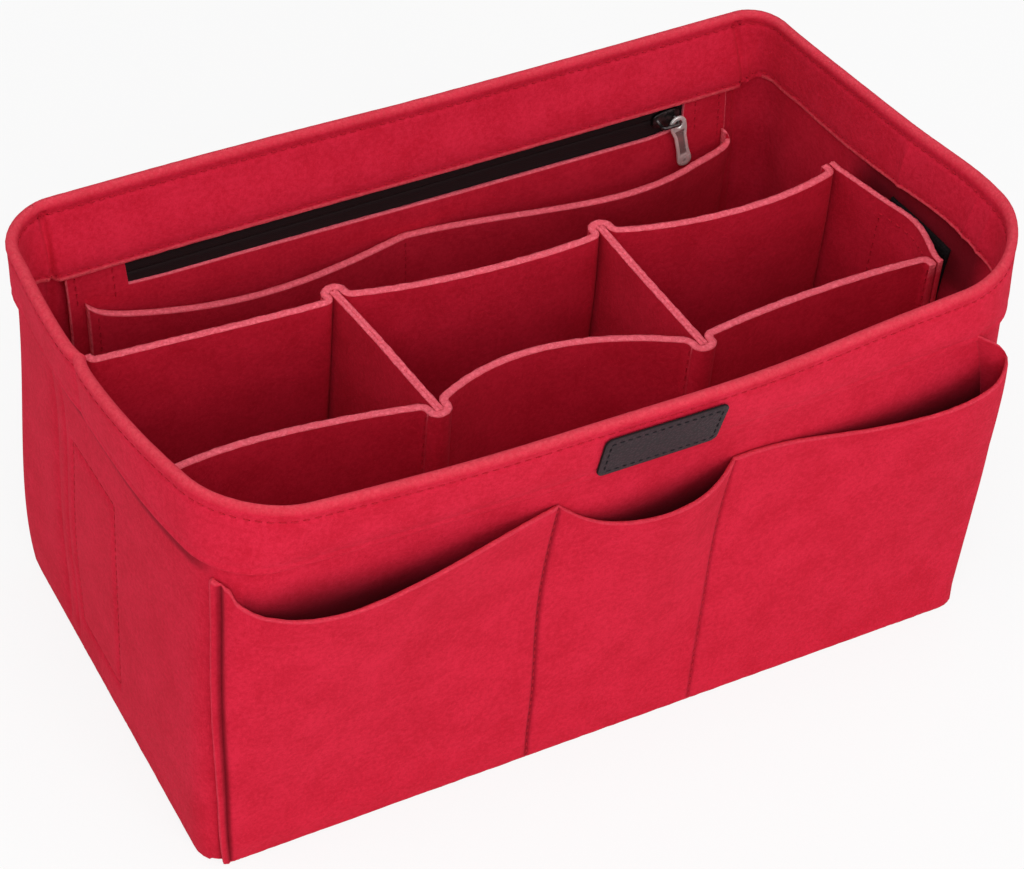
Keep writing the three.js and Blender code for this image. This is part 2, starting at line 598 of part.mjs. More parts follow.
// Divider: felt strips that stand on the floor, sewn at their turned-out ends.
const CELL_NAMES = ['left', 'middle', 'right'];
const CELL_COUNT = CELL_NAMES.length;
const dividerReach =
  BASE_LENGTH / 2 - FELT - 3 * SEAM_GAP - 2 * PATCH_THICKNESS - DIVIDER_FELT / 2 - RIGHT_END_BOW - DIVIDER_PLAY;
const cellPitch = (2 * dividerReach) / CELL_COUNT;
const dividerTop = floorTop + DIVIDER_HEIGHT;
const layerStep = DIVIDER_FELT + SEAM_GAP;

// Junction k of the cells: its front and back points, its direction from front to back and the normal to +X.
function junction(k) {
  const x = (k - CELL_COUNT / 2) * cellPitch;
  const pointAt = (towardsBack) => {
    const shifted = x + DIVIDER_SHIFT_X - towardsBack * DIVIDER_SLANT;
    const y = DIVIDER_SHIFT_Y + (towardsBack * DIVIDER_DEPTH) / 2 + DIVIDER_TURN * shifted;
    return new THREE.Vector2(shifted, y);
  };
  const front = pointAt(-1);
  const back = pointAt(1);
  const towardsBack = back.clone().sub(front).normalize();
  return { front, back, towardsBack, normal: new THREE.Vector2(towardsBack.y, -towardsBack.x) };
}
const junctions = Array.from({ length: CELL_COUNT + 1 }, (_, k) => junction(k));
const moved = (point, direction, distance) => point.clone().addScaledVector(direction, distance);

// Standing strip of felt along a plan line.
function standingStrip(line, thickness, low, high, offset = 0) {
  const normals = line.map((point, k) => {
    const before = point.clone().sub(line[Math.max(0, k - 1)]);
    const after = line[Math.min(line.length - 1, k + 1)].clone().sub(point);
    const first = k === 0 ? after.clone().normalize() : before.normalize();
    const second = k === line.length - 1 ? first : after.normalize();
    const mean = first.clone().add(second).normalize();
    const mitre = 1 / mean.dot(first);
    return new THREE.Vector2(-mean.y, mean.x).multiplyScalar(mitre);
  });
  return sheet(spaced(0, line.length - 1, line.length - 1), [low, high], (k, z, face) => {
    const step = offset + (face - 0.5) * thickness;
    const point = moved(line[Math.round(k)], normals[Math.round(k)], step);
    return new THREE.Vector3(point.x, point.y, z);
  });
}

// Plan line through a bowed wall between two points, with its ends turned to the outside as seam allowances.
function turnedWall(start, startOut, end, endOut, bowDirection, bow) {
  const control = start.clone().add(end).multiplyScalar(0.5).addScaledVector(bowDirection, 2 * bow);
  const along = control.clone().sub(start).normalize();
  const back = control.clone().sub(end).normalize();
  const wallStart = moved(start, along, NUB_FILLET);
  const wallEnd = moved(end, back, NUB_FILLET);
  const turnIn = new THREE.QuadraticBezierCurve(moved(start, startOut, NUB_FILLET), start, wallStart);
  const run = new THREE.QuadraticBezierCurve(wallStart, control, wallEnd);
  const turnOut = new THREE.QuadraticBezierCurve(wallEnd, end, moved(end, endOut, NUB_FILLET));
  return [
    moved(start, startOut, NUB_DEPTH),
    ...turnIn.getPoints(CORNER_DIVISIONS),
    ...run.getPoints(BOW_DIVISIONS).slice(1, -1),
    ...turnOut.getPoints(CORNER_DIVISIONS),
    moved(end, endOut, NUB_DEPTH),
  ];
}

// Long walls of a cell: the legs lie outside the cross walls' two layers, or inside an end wall's single layer.
function longWall(cell, towardsBack, bow) {
  const [first, second] = [junctions[cell], junctions[cell + 1]];
  const inset = (k) => (k === 0 || k === CELL_COUNT ? layerStep : 1.5 * layerStep);
  const corner = (each) => (towardsBack > 0 ? each.back : each.front);
  const out = (each) => each.towardsBack.clone().multiplyScalar(towardsBack);
  const start = moved(corner(first), first.normal, inset(cell));
  const end = moved(corner(second), second.normal, -inset(cell + 1));
  return turnedWall(start, out(first), end, out(second), out(first).negate(), bow);
}

// Plan curve of an end wall, which is one layer that bows towards the shell.
function endCurve(k, outwards, bow) {
  const { front, back, normal } = junctions[k];
  const control = front.clone().add(back).multiplyScalar(0.5).addScaledVector(normal, outwards * 2 * bow);
  return new THREE.QuadraticBezierCurve(front, control, back);
}

CELL_NAMES.forEach((name, cell) => {
  const walls = { back: longWall(cell, 1, BACK_WALL_BOW), front: longWall(cell, -1, FRONT_WALL_BOW[name]) };
  for (const [place, line] of Object.entries(walls)) {
    const wall = standingStrip(line, DIVIDER_FELT, floorTop, dividerTop);
    addPiece(`divider_${place}_wall_${name}`, wall, 'dividerFelt');
  }
});
['left', 'right'].forEach((name, k) => {
  const { front, back, towardsBack } = junctions[k + 1];
  const line = [moved(front, towardsBack, -NUB_DEPTH), moved(back, towardsBack, NUB_DEPTH)];
  ['a', 'b'].forEach((layer, row) => {
    const offset = (0.5 - row) * layerStep;
    const wall = standingStrip(line, DIVIDER_FELT, floorTop, dividerTop, offset);
    addPiece(`divider_cross_wall_${name}_${layer}`, wall, 'dividerFelt');
  });
});

// End walls and the hook patches on their outer faces, opposite the loop patches.
const ENDS = [
  { name: 'left', k: 0, outwards: -1, bow: LEFT_END_BOW, patchY: LEFT_PATCH_Y },
  { name: 'right', k: CELL_COUNT, outwards: 1, bow: RIGHT_END_BOW, patchY: RIGHT_PATCH_Y },
];
for (const { name, k, outwards, bow, patchY } of ENDS) {
  const { front, back, towardsBack } = junctions[k];
  const curve = endCurve(k, outwards, bow);
  const line = [
    moved(front, towardsBack, -NUB_DEPTH),
    ...curve.getPoints(BOW_DIVISIONS),
    moved(back, towardsBack, NUB_DEPTH),
  ];
  addPiece(`divider_end_wall_${name}`, standingStrip(line, DIVIDER_FELT, floorTop, dividerTop), 'dividerFelt');
  const shareAt = (y) => THREE.MathUtils.clamp((y - front.y) / (back.y - front.y), 0, 1);
  const shares = [patchY - PATCH_WIDTH / 2, patchY + PATCH_WIDTH / 2].map(shareAt);
  const backed = spaced(...shares, PATCH_DIVISIONS).map((share) => curve.getPoint(share));
  const offset = -outwards * (DIVIDER_FELT / 2 + SEAM_GAP + PATCH_THICKNESS / 2);
  const top = dividerTop - HOOK_PATCH_DROP;
  const base = Math.max(floorTop, top - PATCH_HEIGHT);
  addPiece(`hook_patch_${name}`, standingStrip(backed, PATCH_THICKNESS, base, top, offset), 'hookAndLoop');
}

export default organizer;
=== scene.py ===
"""Felt bag organizer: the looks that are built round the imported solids.

Lengths in this file are millimetres in the solids' own frame, +Z up and -Y the front. A mesh is in metres.
"""

import logging
import math
from dataclasses import dataclass, field
from enum import Enum
from typing import Any, Callable, Sequence, Union

import bpy
import numpy as np
from mathutils import Matrix


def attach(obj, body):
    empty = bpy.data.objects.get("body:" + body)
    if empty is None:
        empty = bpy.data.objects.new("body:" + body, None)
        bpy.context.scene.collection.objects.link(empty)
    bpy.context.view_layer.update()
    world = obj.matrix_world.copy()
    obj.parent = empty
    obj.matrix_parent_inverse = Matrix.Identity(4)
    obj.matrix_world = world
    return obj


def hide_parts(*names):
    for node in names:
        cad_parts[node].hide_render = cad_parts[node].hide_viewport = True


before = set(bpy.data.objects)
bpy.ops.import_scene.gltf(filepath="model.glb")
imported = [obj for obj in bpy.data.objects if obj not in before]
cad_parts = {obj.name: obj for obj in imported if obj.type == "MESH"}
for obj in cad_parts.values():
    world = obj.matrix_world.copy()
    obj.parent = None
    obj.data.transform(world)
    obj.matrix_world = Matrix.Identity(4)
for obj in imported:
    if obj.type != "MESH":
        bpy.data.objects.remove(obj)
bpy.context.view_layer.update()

LOG = logging.getLogger("organizer")
MM = 0.001
# Mesh attribute: share of pale cut edge, partly a painted highlight, and below 0 the depth of painted shade.
CUT_EDGE_AND_PAINTED_LIGHT = "cut_edge_and_painted_light"
BORDER_SHARE = 0.75
END_GIRTH = 68.0
LONG_GIRTH = 148.0
PLACE_STEP = 2.6
NEAR_LINE = (-1.6, -0.8, 0.0, 0.8, 1.6)
BACK_SEAM = (0.905, 0.957)
Array = np.ndarray
Number = Union[float, Array]
Pair = tuple[float, float]
Triple = tuple[float, float, float]
Colour = Triple
Material = bpy.types.Material


class Body(Enum):
    """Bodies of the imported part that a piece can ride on."""

    SHELL = "shell"
    SLIDER = "slider"
    PULL = "pull"
    DIVIDER = "divider"


class Slot(Enum):
    """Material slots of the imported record."""

    OUTER = "felt_outer"
    BAND = "felt_band"
    LINING = "felt_lining"
    DIVIDER = "felt_divider"
    TAPE = "zip_tape"
    COIL = "zip_coil"
    NICKEL = "nickel"
    LABEL = "label_leather"
    HOOK_LOOP = "hook_loop"


class Side(Enum):
    """A side of the shell: its outward and forward directions and the corners that it runs between."""

    FRONT = ((0.0, -1.0), (1.0, 0.0), 0, 1)
    RIGHT = ((1.0, 0.0), (0.0, 1.0), 1, 2)
    BACK = ((0.0, 1.0), (-1.0, 0.0), 2, 3)
    LEFT = ((-1.0, 0.0), (0.0, -1.0), 3, 0)

    @property
    def out(self) -> Pair:
        """Outward direction in X and Y."""
        return self.value[0]

    @property
    def along(self) -> Pair:
        """Forward direction in X and Y."""
        return self.value[1]

    @property
    def corners(self) -> tuple[int, int]:
        """Numbers of the corners at the start and at the end."""
        return self.value[2], self.value[3]

    @property
    def short(self) -> bool:
        """True for the two end walls."""
        return self.value[1][0] == 0.0


# Grids and meshes


def blend(first: Number, last: Number, share: Number) -> Number:
    """Straight mix of two values by a share from 0 to 1."""
    return first + (last - first) * share


def ramp(low: float, high: float, value: Number) -> Number:
    """Smooth rise from 0 at low to 1 at high."""
    share = np.clip((np.asarray(value, float) - low) / (high - low), 0.0, 1.0)
    return share * share * (3.0 - 2.0 * share)


def bump(value: Number, centre: float, width: float) -> Number:
    """Bell curve of height 1 about a centre."""
    return np.exp(-(((np.asarray(value, float) - centre) / width) ** 2))


def unit(vectors: Array) -> Array:
    """Vectors of length 1 in the same directions."""
    return vectors / np.maximum(np.linalg.norm(vectors, axis=-1, keepdims=True), 1e-9)


def same_shape(*values: Number) -> Sequence[Array]:
    """Values as arrays of one shape."""
    return np.broadcast_arrays(*(np.asarray(value, float) for value in values))


def stops(*knots: tuple[float, int]) -> Array:
    """Values through knots, each knot with the number of steps that lead up to it.

    Args:
        knots: pairs of a value and the number of equal steps from the value before, which the first ignores.

    Returns:
        The values in order.
    """
    parts = [np.array([knots[0][0]])]
    for (start, _), (end, count) in zip(knots[:-1], knots[1:]):
        parts.append(np.linspace(start, end, count + 1)[1:])
    return np.concatenate(parts)


@dataclass
class Skin:
    """Points and faces of a mesh, with the share of cut edge at each point, which also carries painted
    highlight and, below 0, painted shade.
    """

    points: Array
    quads: Array
    triangles: Array = field(default_factory=lambda: np.zeros((0, 3), int))
    cut_and_painted_light: Array | None = None

    def volume(self) -> float:
        """Signed volume, which is above 0 where the faces point outwards.

        Returns:
            The volume in cubic millimetres.
        """
        halves = np.concatenate([self.quads[:, [0, 1, 2]], self.quads[:, [0, 2, 3]], self.triangles])
        a, b, c = (self.points[halves[:, k]] for k in range(3))
        return float(np.einsum("ij,ij->i", a, np.cross(b, c)).sum() / 6.0)

    def outwards(self) -> "Skin":
        """The same skin with its faces pointing outwards.

        Returns:
            The skin.
        """
        if self.volume() < 0.0:
            self.quads = self.quads[:, ::-1]
            self.triangles = self.triangles[:, ::-1]
        return self

    def with_painted_shade(self, *amounts: Array) -> "Skin":
        """The same skin with painted shade marked on its first grids of points, apart from their cut edges.

        Args:
            amounts: depth of the painted shade, from 0 to 1, at each point of each grid in order.

        Returns:
            The skin.
        """
        start = 0
        for amount in amounts:
            part = self.cut_and_painted_light[start:start + amount.size]
            # painted shade is kept as a share below 0, which the finishes turn into a darker colour
            self.cut_and_painted_light[start:start + amount.size] = np.where(part > 0.0, part, -amount.ravel())
            start += amount.size
        return self


def all_joined(skins: Sequence[Skin]) -> Skin:
    """Several skins as one.

    Args:
        skins: the skins in order.

    Returns:
        The skin that holds them all.
    """
    starts = np.cumsum([0] + [len(skin.points) for skin in skins])
    cut_and_painted_lights = [np.zeros(len(skin.points)) if skin.cut_and_painted_light is None else skin.cut_and_painted_light for skin in skins]
    return Skin(
        np.concatenate([skin.points for skin in skins]),
        np.concatenate([skin.quads + start for skin, start in zip(skins, starts)]),
        np.concatenate([skin.triangles + start for skin, start in zip(skins, starts)]),
        np.concatenate(cut_and_painted_lights),
    )


def grid_faces(index: Array, wrap: bool = False) -> Array:
    """Quads of a grid of point numbers.

    Args:
        index: rows by columns of point numbers.
        wrap: whether the last row joins the first.

    Returns:
        The quads, four point numbers each.
    """
    rows = np.concatenate([index, index[:1]]) if wrap else index
    corners = [rows[:-1, :-1], rows[1:, :-1], rows[1:, 1:], rows[:-1, 1:]]
    return np.stack(corners, axis=-1).reshape(-1, 4)


def closed_sheet(
    front: Array, back: Array, bulge: float, wrap: bool = False, steps: int = 3
) -> Skin:
    """Closes two matching grids into one sheet with rounded edges.

    The edge is a row of loops, each the straight mix of the two borders pushed out by a half sine.

    Args:
        front: rows by columns of points on one face.
        back: the matching points on the other face.
        bulge: how far the middle of the edge stands out.
        wrap: whether the last row joins the first, which leaves a border at each end of the columns only.
        steps: number of loops in the edge.

    Returns:
        The closed skin, with its cut edge share set to 1 on the edge.
    """
    rows, columns = front.shape[:2]
    index = np.arange(rows * columns).reshape(rows, columns)
    out = np.zeros_like(front)
    out[:, 0] += unit(front[:, 0] - front[:, 1])
    out[:, -1] += unit(front[:, -1] - front[:, -2])
    if wrap:
        borders = [index[:, 0], index[::-1, -1]]
    else:
        out[0] += unit(front[0] - front[1])
        out[-1] += unit(front[-1] - front[-2])
        borders = [np.concatenate([index[:-1, 0], index[-1, :-1], index[:0:-1, -1], index[0, :0:-1]])]
    out = unit(out).reshape(-1, 3)
    faces_front, faces_back = front.reshape(-1, 3), back.reshape(-1, 3)
    points = [faces_front, faces_back]
    quads = [grid_faces(index, wrap), grid_faces(index + rows * columns, wrap)[:, ::-1]]
    cut_and_painted_light = [np.zeros(rows * columns), np.zeros(rows * columns)]
    start = 2 * rows * columns
    for border in borders:
        shares = np.arange(1, steps + 1)[:, None, None] / (steps + 1.0)
        middle = blend(faces_front[border], faces_back[border], shares)
        loops = middle + out[border] * bulge * np.sin(np.pi * shares)
        numbers = start + np.arange(steps * len(border)).reshape(steps, -1)
        ladder = np.concatenate([border[None], numbers, border[None] + rows * columns])
        quads.append(grid_faces(np.concatenate([ladder, ladder[:, :1]], axis=1)))
        points.append(loops.reshape(-1, 3))
        cut_and_painted_light.append(np.ones(steps * len(border)))
        cut_and_painted_light[0][border] = cut_and_painted_light[1][border] = BORDER_SHARE
        start += steps * len(border)
    return Skin(np.concatenate(points), np.concatenate(quads), cut_and_painted_light=np.concatenate(cut_and_painted_light)).outwards()


def swept_loop(points: Array, closed: bool = True) -> Skin:
    """Skin of a closed profile carried along a path.

    Args:
        points: places along the path by places round the profile.
        closed: whether the path returns to its start; an open one is closed by a fan at each end.

    Returns:
        The closed skin.
    """
    rows, columns = points.shape[:2]
    index = np.arange(rows * columns).reshape(rows, columns)
    quads = grid_faces(np.concatenate([index, index[:, :1]], axis=1), closed)
    flat = points.reshape(-1, 3)
    if closed:
        return Skin(flat, quads).outwards()
    ends = np.stack([points[0].mean(axis=0), points[-1].mean(axis=0)])
    first = np.stack([np.full(columns, len(flat)), np.roll(index[0], -1), index[0]], axis=-1)
    last = np.stack([np.full(columns, len(flat) + 1), index[-1], np.roll(index[-1], -1)], axis=-1)
    both = np.concatenate([first, last])
    return Skin(np.concatenate([flat, ends]), quads, both).outwards()


def tube(path: Array, radius: float, sides: int) -> Skin:
    """Round tube along an open path, with its rings square to the path.

    Args:
        path: points along the middle.
        radius: its radius.
        sides: number of faces round it.

    Returns:
        The closed skin.
    """
    ahead = unit(np.gradient(path, axis=0))
    level = np.abs(ahead[:, 1:2]) < 0.9
    across = unit(np.cross(ahead, np.where(level, np.array([[0.0, 1.0, 0.0]]), np.array([[1.0, 0.0, 0.0]]))))
    other = np.cross(ahead, across)
    turn = np.linspace(0.0, 2.0 * np.pi, sides, endpoint=False)[:, None]
    ring = across[:, None] * np.cos(turn) + other[:, None] * np.sin(turn)
    return swept_loop(path[:, None] + ring * radius, False)


@dataclass(frozen=True)
class Softness:
    """Slow unevenness of hand-sewn felt: a sum of long waves that moves neighbouring layers together."""

    amount: float = 0.55
    waves: int = 7
    shortest: float = 46.0
    longest: float = 120.0
    still_from: float = 52.0
    still_at: float = 66.0
    seed: int = 11

    def moved(self, points: Array) -> Array:
        """Points moved by the waves, which fade out towards the floor and the zipped back wall.

        Args:
            points: points in millimetres.

        Returns:
            The moved points.
        """
        random = np.random.default_rng(self.seed)
        directions = unit(random.normal(size=(self.waves, 3)))
        lengths = random.uniform(self.shortest, self.longest, self.waves)
        phases = random.uniform(0.0, 2.0 * np.pi, (self.waves, 2))
        along = points @ (directions / lengths[:, None]).T * 2.0 * np.pi
        shares = np.stack([np.sin(along + phases[:, k]).sum(axis=-1) for k in range(2)], axis=-1)
        reach = self.amount / math.sqrt(self.waves) * ramp(0.0, 40.0, points[..., 2])
        reach = reach * (1.0 - ramp(self.still_from, self.still_at, points[..., 1]))
        shift = np.zeros_like(points)
        shift[..., :2] = shares * reach[..., None]
        return points + shift


def edge_wobble(skin: Skin, amount: float, seed: int) -> Skin:
    """Roughens the cut edge of a felt skin by small random moves.

    Args:
        skin: the skin, whose share of cut edge and painted highlight says which points move.
        amount: largest move.
        seed: seed of the random moves.

    Returns:
        The same skin.
    """
    random = np.random.default_rng(seed)
    shift = random.uniform(-amount, amount, skin.points.shape)
    skin.points = skin.points + shift * np.maximum(0.0, skin.cut_and_painted_light)[:, None]
    return skin


def linked(name: str, data: bpy.types.ID) -> bpy.types.Object:
    """Puts an object of a mesh, lamp or camera into the scene.

    Args:
        name: the object's name.
        data: what it shows.

    Returns:
        The object, at the origin.
    """
    made = bpy.data.objects.new(name, data)
    bpy.context.scene.collection.objects.link(made)
    return made


def piece(
    name: str, skin: Skin, body: Body, material: Material, nodes: Sequence[str] = ()
) -> None:
    """Makes an object of a skin and puts it on its body.

    Args:
        name: the piece's name.
        skin: its points in millimetres and its faces.
        body: the body that it rides on.
        material: its finish.
        nodes: the solids that it stands for.
    """
    mesh = bpy.data.meshes.new(name)
    faces = skin.quads.tolist() + skin.triangles.tolist()
    mesh.from_pydata((skin.points * MM).tolist(), [], faces)
    mesh.polygons.foreach_set("use_smooth", np.ones(len(faces), dtype=bool))
    if skin.cut_and_painted_light is not None:
        attribute = mesh.attributes.new(CUT_EDGE_AND_PAINTED_LIGHT, "FLOAT", "POINT")
        attribute.data.foreach_set("value", np.asarray(skin.cut_and_painted_light, np.float32))
    mesh.materials.append(material)
    mesh.update()
    made = linked(name, mesh)
    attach(made, body.value)
    if nodes:
        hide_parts(*nodes)
    LOG.info("%s: %d points, %d faces, on %s", name, len(mesh.vertices), len(faces), body.value)


# Shader maths


class Wire:
    """A shader socket on which Python's operators add Math nodes."""

    def __init__(self, graph: "Graph", socket: bpy.types.NodeSocket) -> None:
        """Keeps the graph and the socket."""
        self.graph = graph
        self.socket = socket

    def _math(self, operation: str, first: Any, second: Any) -> "Wire":
        """A Math node on two values."""
        return self.graph.node("ShaderNodeMath", {"operation": operation}, {0: first, 1: second})

    def __add__(self, other: Any) -> "Wire":
        """Sum."""
        return self._math("ADD", self, other)

    def __radd__(self, other: Any) -> "Wire":
        """Sum with a number in front."""
        return self._math("ADD", other, self)

    def __sub__(self, other: Any) -> "Wire":
        """Difference."""
        return self._math("SUBTRACT", self, other)

    def __rsub__(self, other: Any) -> "Wire":
        """Difference from a number."""
        return self._math("SUBTRACT", other, self)

    def __mul__(self, other: Any) -> "Wire":
        """Product."""
        return self._math("MULTIPLY", self, other)

    def __rmul__(self, other: Any) -> "Wire":
        """Product with a number in front."""
        return self._math("MULTIPLY", other, self)

    def sine(self) -> "Wire":
        """Sine of the value."""
        return self.graph.node("ShaderNodeMath", {"operation": "SINE"}, {0: self})

    def limited(self, low: float = 0.0, high: float = 1.0) -> "Wire":
        """The value kept between two numbers."""
        return self.graph.node("ShaderNodeClamp", {}, {0: self, 1: low, 2: high})

    def over(self, low: float, high: float) -> "Wire":
        """Smooth rise from 0 at low to 1 at high."""
        settings = {"interpolation_type": "SMOOTHSTEP"}
        return self.graph.node("ShaderNodeMapRange", settings, {0: self, 1: low, 2: high, 3: 0.0, 4: 1.0})


class Graph:
    """The node graph of a material or of the surroundings, cleared and with its output."""

    def __init__(self, owner: Material | bpy.types.World, output: str) -> None:
        """Clears the owner's graph and adds its output.

        Args:
            owner: the material or the surroundings.
            output: type of the output node.
        """
        owner.use_nodes = True
        self.tree = owner.node_tree
        self.tree.nodes.clear()
        self.output = self.tree.nodes.new(output)

    def node(self, kind: str, settings: dict[str, Any], inputs: dict[Any, Any], output: Any = 0) -> Wire:
        """Adds any node.

        Args:
            kind: the node's type.
            settings: its properties, which are set first.
            inputs: values or wires by socket name or number.
            output: name or number of the wanted output.

        Returns:
            The wanted output.
        """
        made = self.tree.nodes.new(kind)
        for key, value in settings.items():
            setattr(made, key, value)
        for key, value in inputs.items():
            self.feed(made.inputs[key], value)
        return Wire(self, made.outputs[output])

    def feed(self, socket: bpy.types.NodeSocket, value: Any) -> None:
        """Links a wire to a socket, or sets its number or colour.

        Args:
            socket: the socket.
            value: a wire, a number or a colour.
        """
        if isinstance(value, Wire):
            self.tree.links.new(value.socket, socket)
        elif isinstance(value, (tuple, list)) and socket.type == "RGBA":
            socket.default_value = (*value[:3], 1.0)
        else:
            socket.default_value = value

    def shown(self, shader: Wire) -> None:
        """Links a shader to the output."""
        self.feed(self.output.inputs["Surface"], shader)

    def seen(self) -> Wire:
        """1 for rays from the camera and from reflections, and 0 for all others."""
        rays = [self.node("ShaderNodeLightPath", {}, {}, f"Is {kind} Ray") for kind in ("Camera", "Glossy")]
        return (rays[0] + rays[1]).limited()


class Surface(Graph):
    """A material's graph with a Principled shader."""

    def __init__(self, name: str) -> None:
        """Makes the material and its shader.

        Args:
            name: the material's name.
        """
        self.material = bpy.data.materials.new(name)
        super().__init__(self.material, "ShaderNodeOutputMaterial")
        self.shader = self.tree.nodes.new("ShaderNodeBsdfPrincipled")
        self.own = Wire(self, self.shader.outputs[0])
        self.shown(self.own)

    def place(self, scale: Sequence[float] = (1.0, 1.0, 1.0)) -> Wire:
        """Object coordinates, stretched by a scale."""
        where = self.node("ShaderNodeTexCoord", {}, {}, "Object")
        return self.node("ShaderNodeMapping", {"vector_type": "POINT"}, {"Vector": where, "Scale": scale})

    def noise(self, where: Wire, scale: float, detail: float, roughness: float = 0.55) -> Wire:
        """Noise from 0 to 1 at a scale in waves a metre."""
        inputs = {"Vector": where, "Scale": scale, "Detail": detail, "Roughness": roughness}
        return self.node("ShaderNodeTexNoise", {"noise_dimensions": "3D"}, inputs, "Fac")

    def mix(self, share: Any, first: Any, second: Any) -> Wire:
        """Colour between two colours."""
        settings = {"data_type": "RGBA", "blend_type": "MIX", "clamp_factor": True}
        return self.node("ShaderNodeMix", settings, {0: share, 6: first, 7: second}, 2)

    def attribute(self, name: str) -> Wire:
        """A number kept on the mesh's points."""
        settings = {"attribute_name": name, "attribute_type": "GEOMETRY"}
        return self.node("ShaderNodeAttribute", settings, {}, "Fac")

    def cells(self, where: Wire, scale: float, randomness: float) -> Wire:
        """Distance to the nearest of scattered points, at a scale in points a metre."""
        inputs = {"Vector": where, "Scale": scale, "Randomness": randomness}
        return self.node("ShaderNodeTexVoronoi", {"feature": "F1"}, inputs, "Distance")

    def relief(self, height: Wire, depth: float, strength: float) -> None:
        """Feeds a height from 0 to 1, over a depth in metres, to the shader's normal."""
        inputs = {"Height": height, "Distance": depth, "Strength": strength}
        self.set(Normal=self.node("ShaderNodeBump", {}, inputs, "Normal"))

    def set(self, **sockets: Any) -> None:
        """Feeds the shader's sockets, written with underscores for spaces."""
        for key, value in sockets.items():
            self.feed(self.shader.inputs[key.replace("_", " ")], value)


# Finishes


@dataclass(frozen=True)
class FeltFinish:
    """Pressed felt: mottled colour, matted fibres, a soft sheen, pale cut edges that are partly a painted
    highlight, and painted shade where little light reaches.
    """

    name: str
    colour: Colour
    shade: Colour
    cut: Colour
    fibre_scale: float = 620.0
    fine_scale: float = 2100.0
    crumb_scale: float = 780.0
    painted_shade_share: float = 0.12
    mottle_scale: float = 75.0
    relief_depth: float = 0.00045

    def build(self) -> Material:
        """Makes the material.

        Returns:
            The material.
        """
        graph = Surface(self.name)
        where = graph.place()
        fibres = graph.noise(where, self.fibre_scale, 5.0, 0.62)
        fine = graph.noise(where, self.fine_scale, 3.0, 0.6)
        mottle = graph.noise(where, self.mottle_scale, 3.0, 0.5)
        tone = (fibres * 0.55 + fine * 0.35 + mottle * 0.35).over(0.42, 0.84)
        body = graph.mix(tone, self.shade, self.colour)
        body = graph.mix(fine.over(0.66, 0.8) * 0.25, body, self.cut)
        # the attribute gives the pale cut edge, partly a painted highlight, and below 0 painted shade
        edge = graph.attribute(CUT_EDGE_AND_PAINTED_LIGHT)
        crumbs = graph.noise(where, self.crumb_scale, 4.0, 0.7).over(0.4, 0.6)
        pale_cut_and_highlight = (edge * (0.66 + crumbs * 0.46)).limited()
        # painted shade: a much darker copy of the shade colour where the attribute is below 0
        painted_shade_colour = tuple(self.painted_shade_share * part for part in self.shade)
        body = graph.mix((0.0 - edge).limited(), body, painted_shade_colour)
        graph.set(Base_Color=graph.mix(pale_cut_and_highlight, body, self.cut))
        graph.set(Roughness=0.9 + fibres * 0.1)
        graph.set(Sheen_Weight=0.06, Sheen_Roughness=0.5, Sheen_Tint=(1.0, 0.22, 0.3))
        graph.set(Specular_IOR_Level=0.08)
        graph.relief(fibres * 0.6 + fine * 0.4 + pale_cut_and_highlight * crumbs * 0.7, self.relief_depth, 0.75)
        return graph.material


@dataclass(frozen=True)
class ThreadFinish:
    """Twisted sewing thread."""

    name: str
    colour: Colour
    shade: Colour

    def build(self) -> Material:
        """Makes the material.

        Returns:
            The material.
        """
        graph = Surface(self.name)
        strands = graph.noise(graph.place(), 2600.0, 2.0)
        graph.set(Base_Color=graph.mix(strands.over(0.35, 0.7), self.shade, self.colour))
        graph.set(Roughness=0.55 + strands * 0.3, Specular_IOR_Level=0.08)
        graph.relief(strands, 0.00012, 0.6)
        return graph.material


@dataclass(frozen=True)
class TapeFinish:
    """Fine woven zip tape with ribs along the chain."""

    name: str = "zip_tape_weave"
    colour: Colour = (0.018, 0.008, 0.009)
    shade: Colour = (0.006, 0.003, 0.0035)
    ribs: float = 2100.0
    picks: float = 1500.0

    def build(self) -> Material:
        """Makes the material.

        Returns:
            The material.
        """
        graph = Surface(self.name)
        where = graph.place()
        apart = graph.node("ShaderNodeSeparateXYZ", {}, {0: where}, "Z")
        along = graph.node("ShaderNodeSeparateXYZ", {}, {0: where}, "X")
        rib = (apart * (math.pi * self.ribs)).sine()
        pick = (along * (math.pi * self.picks)).sine()
        weave = rib * pick * 0.5 + 0.5
        lint = graph.noise(where, 420.0, 4.0)
        graph.set(Base_Color=graph.mix((weave * 0.6 + lint * 0.5).limited(), self.shade, self.colour))
        graph.set(Roughness=0.7 + lint * 0.25, Specular_IOR_Level=0.15)
        graph.relief(weave, 0.0002, 0.7)
        return graph.material


@dataclass(frozen=True)
class CoilFinish:
    """Black nylon of the zip's coil."""

    name: str = "zip_coil_nylon"
    colour: Colour = (0.02, 0.016, 0.017)
    shade: Colour = (0.007, 0.006, 0.006)

    def build(self) -> Material:
        """Makes the material.

        Returns:
            The material.
        """
        graph = Surface(self.name)
        dust = graph.noise(graph.place(), 700.0, 3.0)
        graph.set(Base_Color=graph.mix(dust, self.shade, self.colour), Roughness=0.3 + dust * 0.25)
        graph.relief(dust, 0.00005, 0.4)
        return graph.material


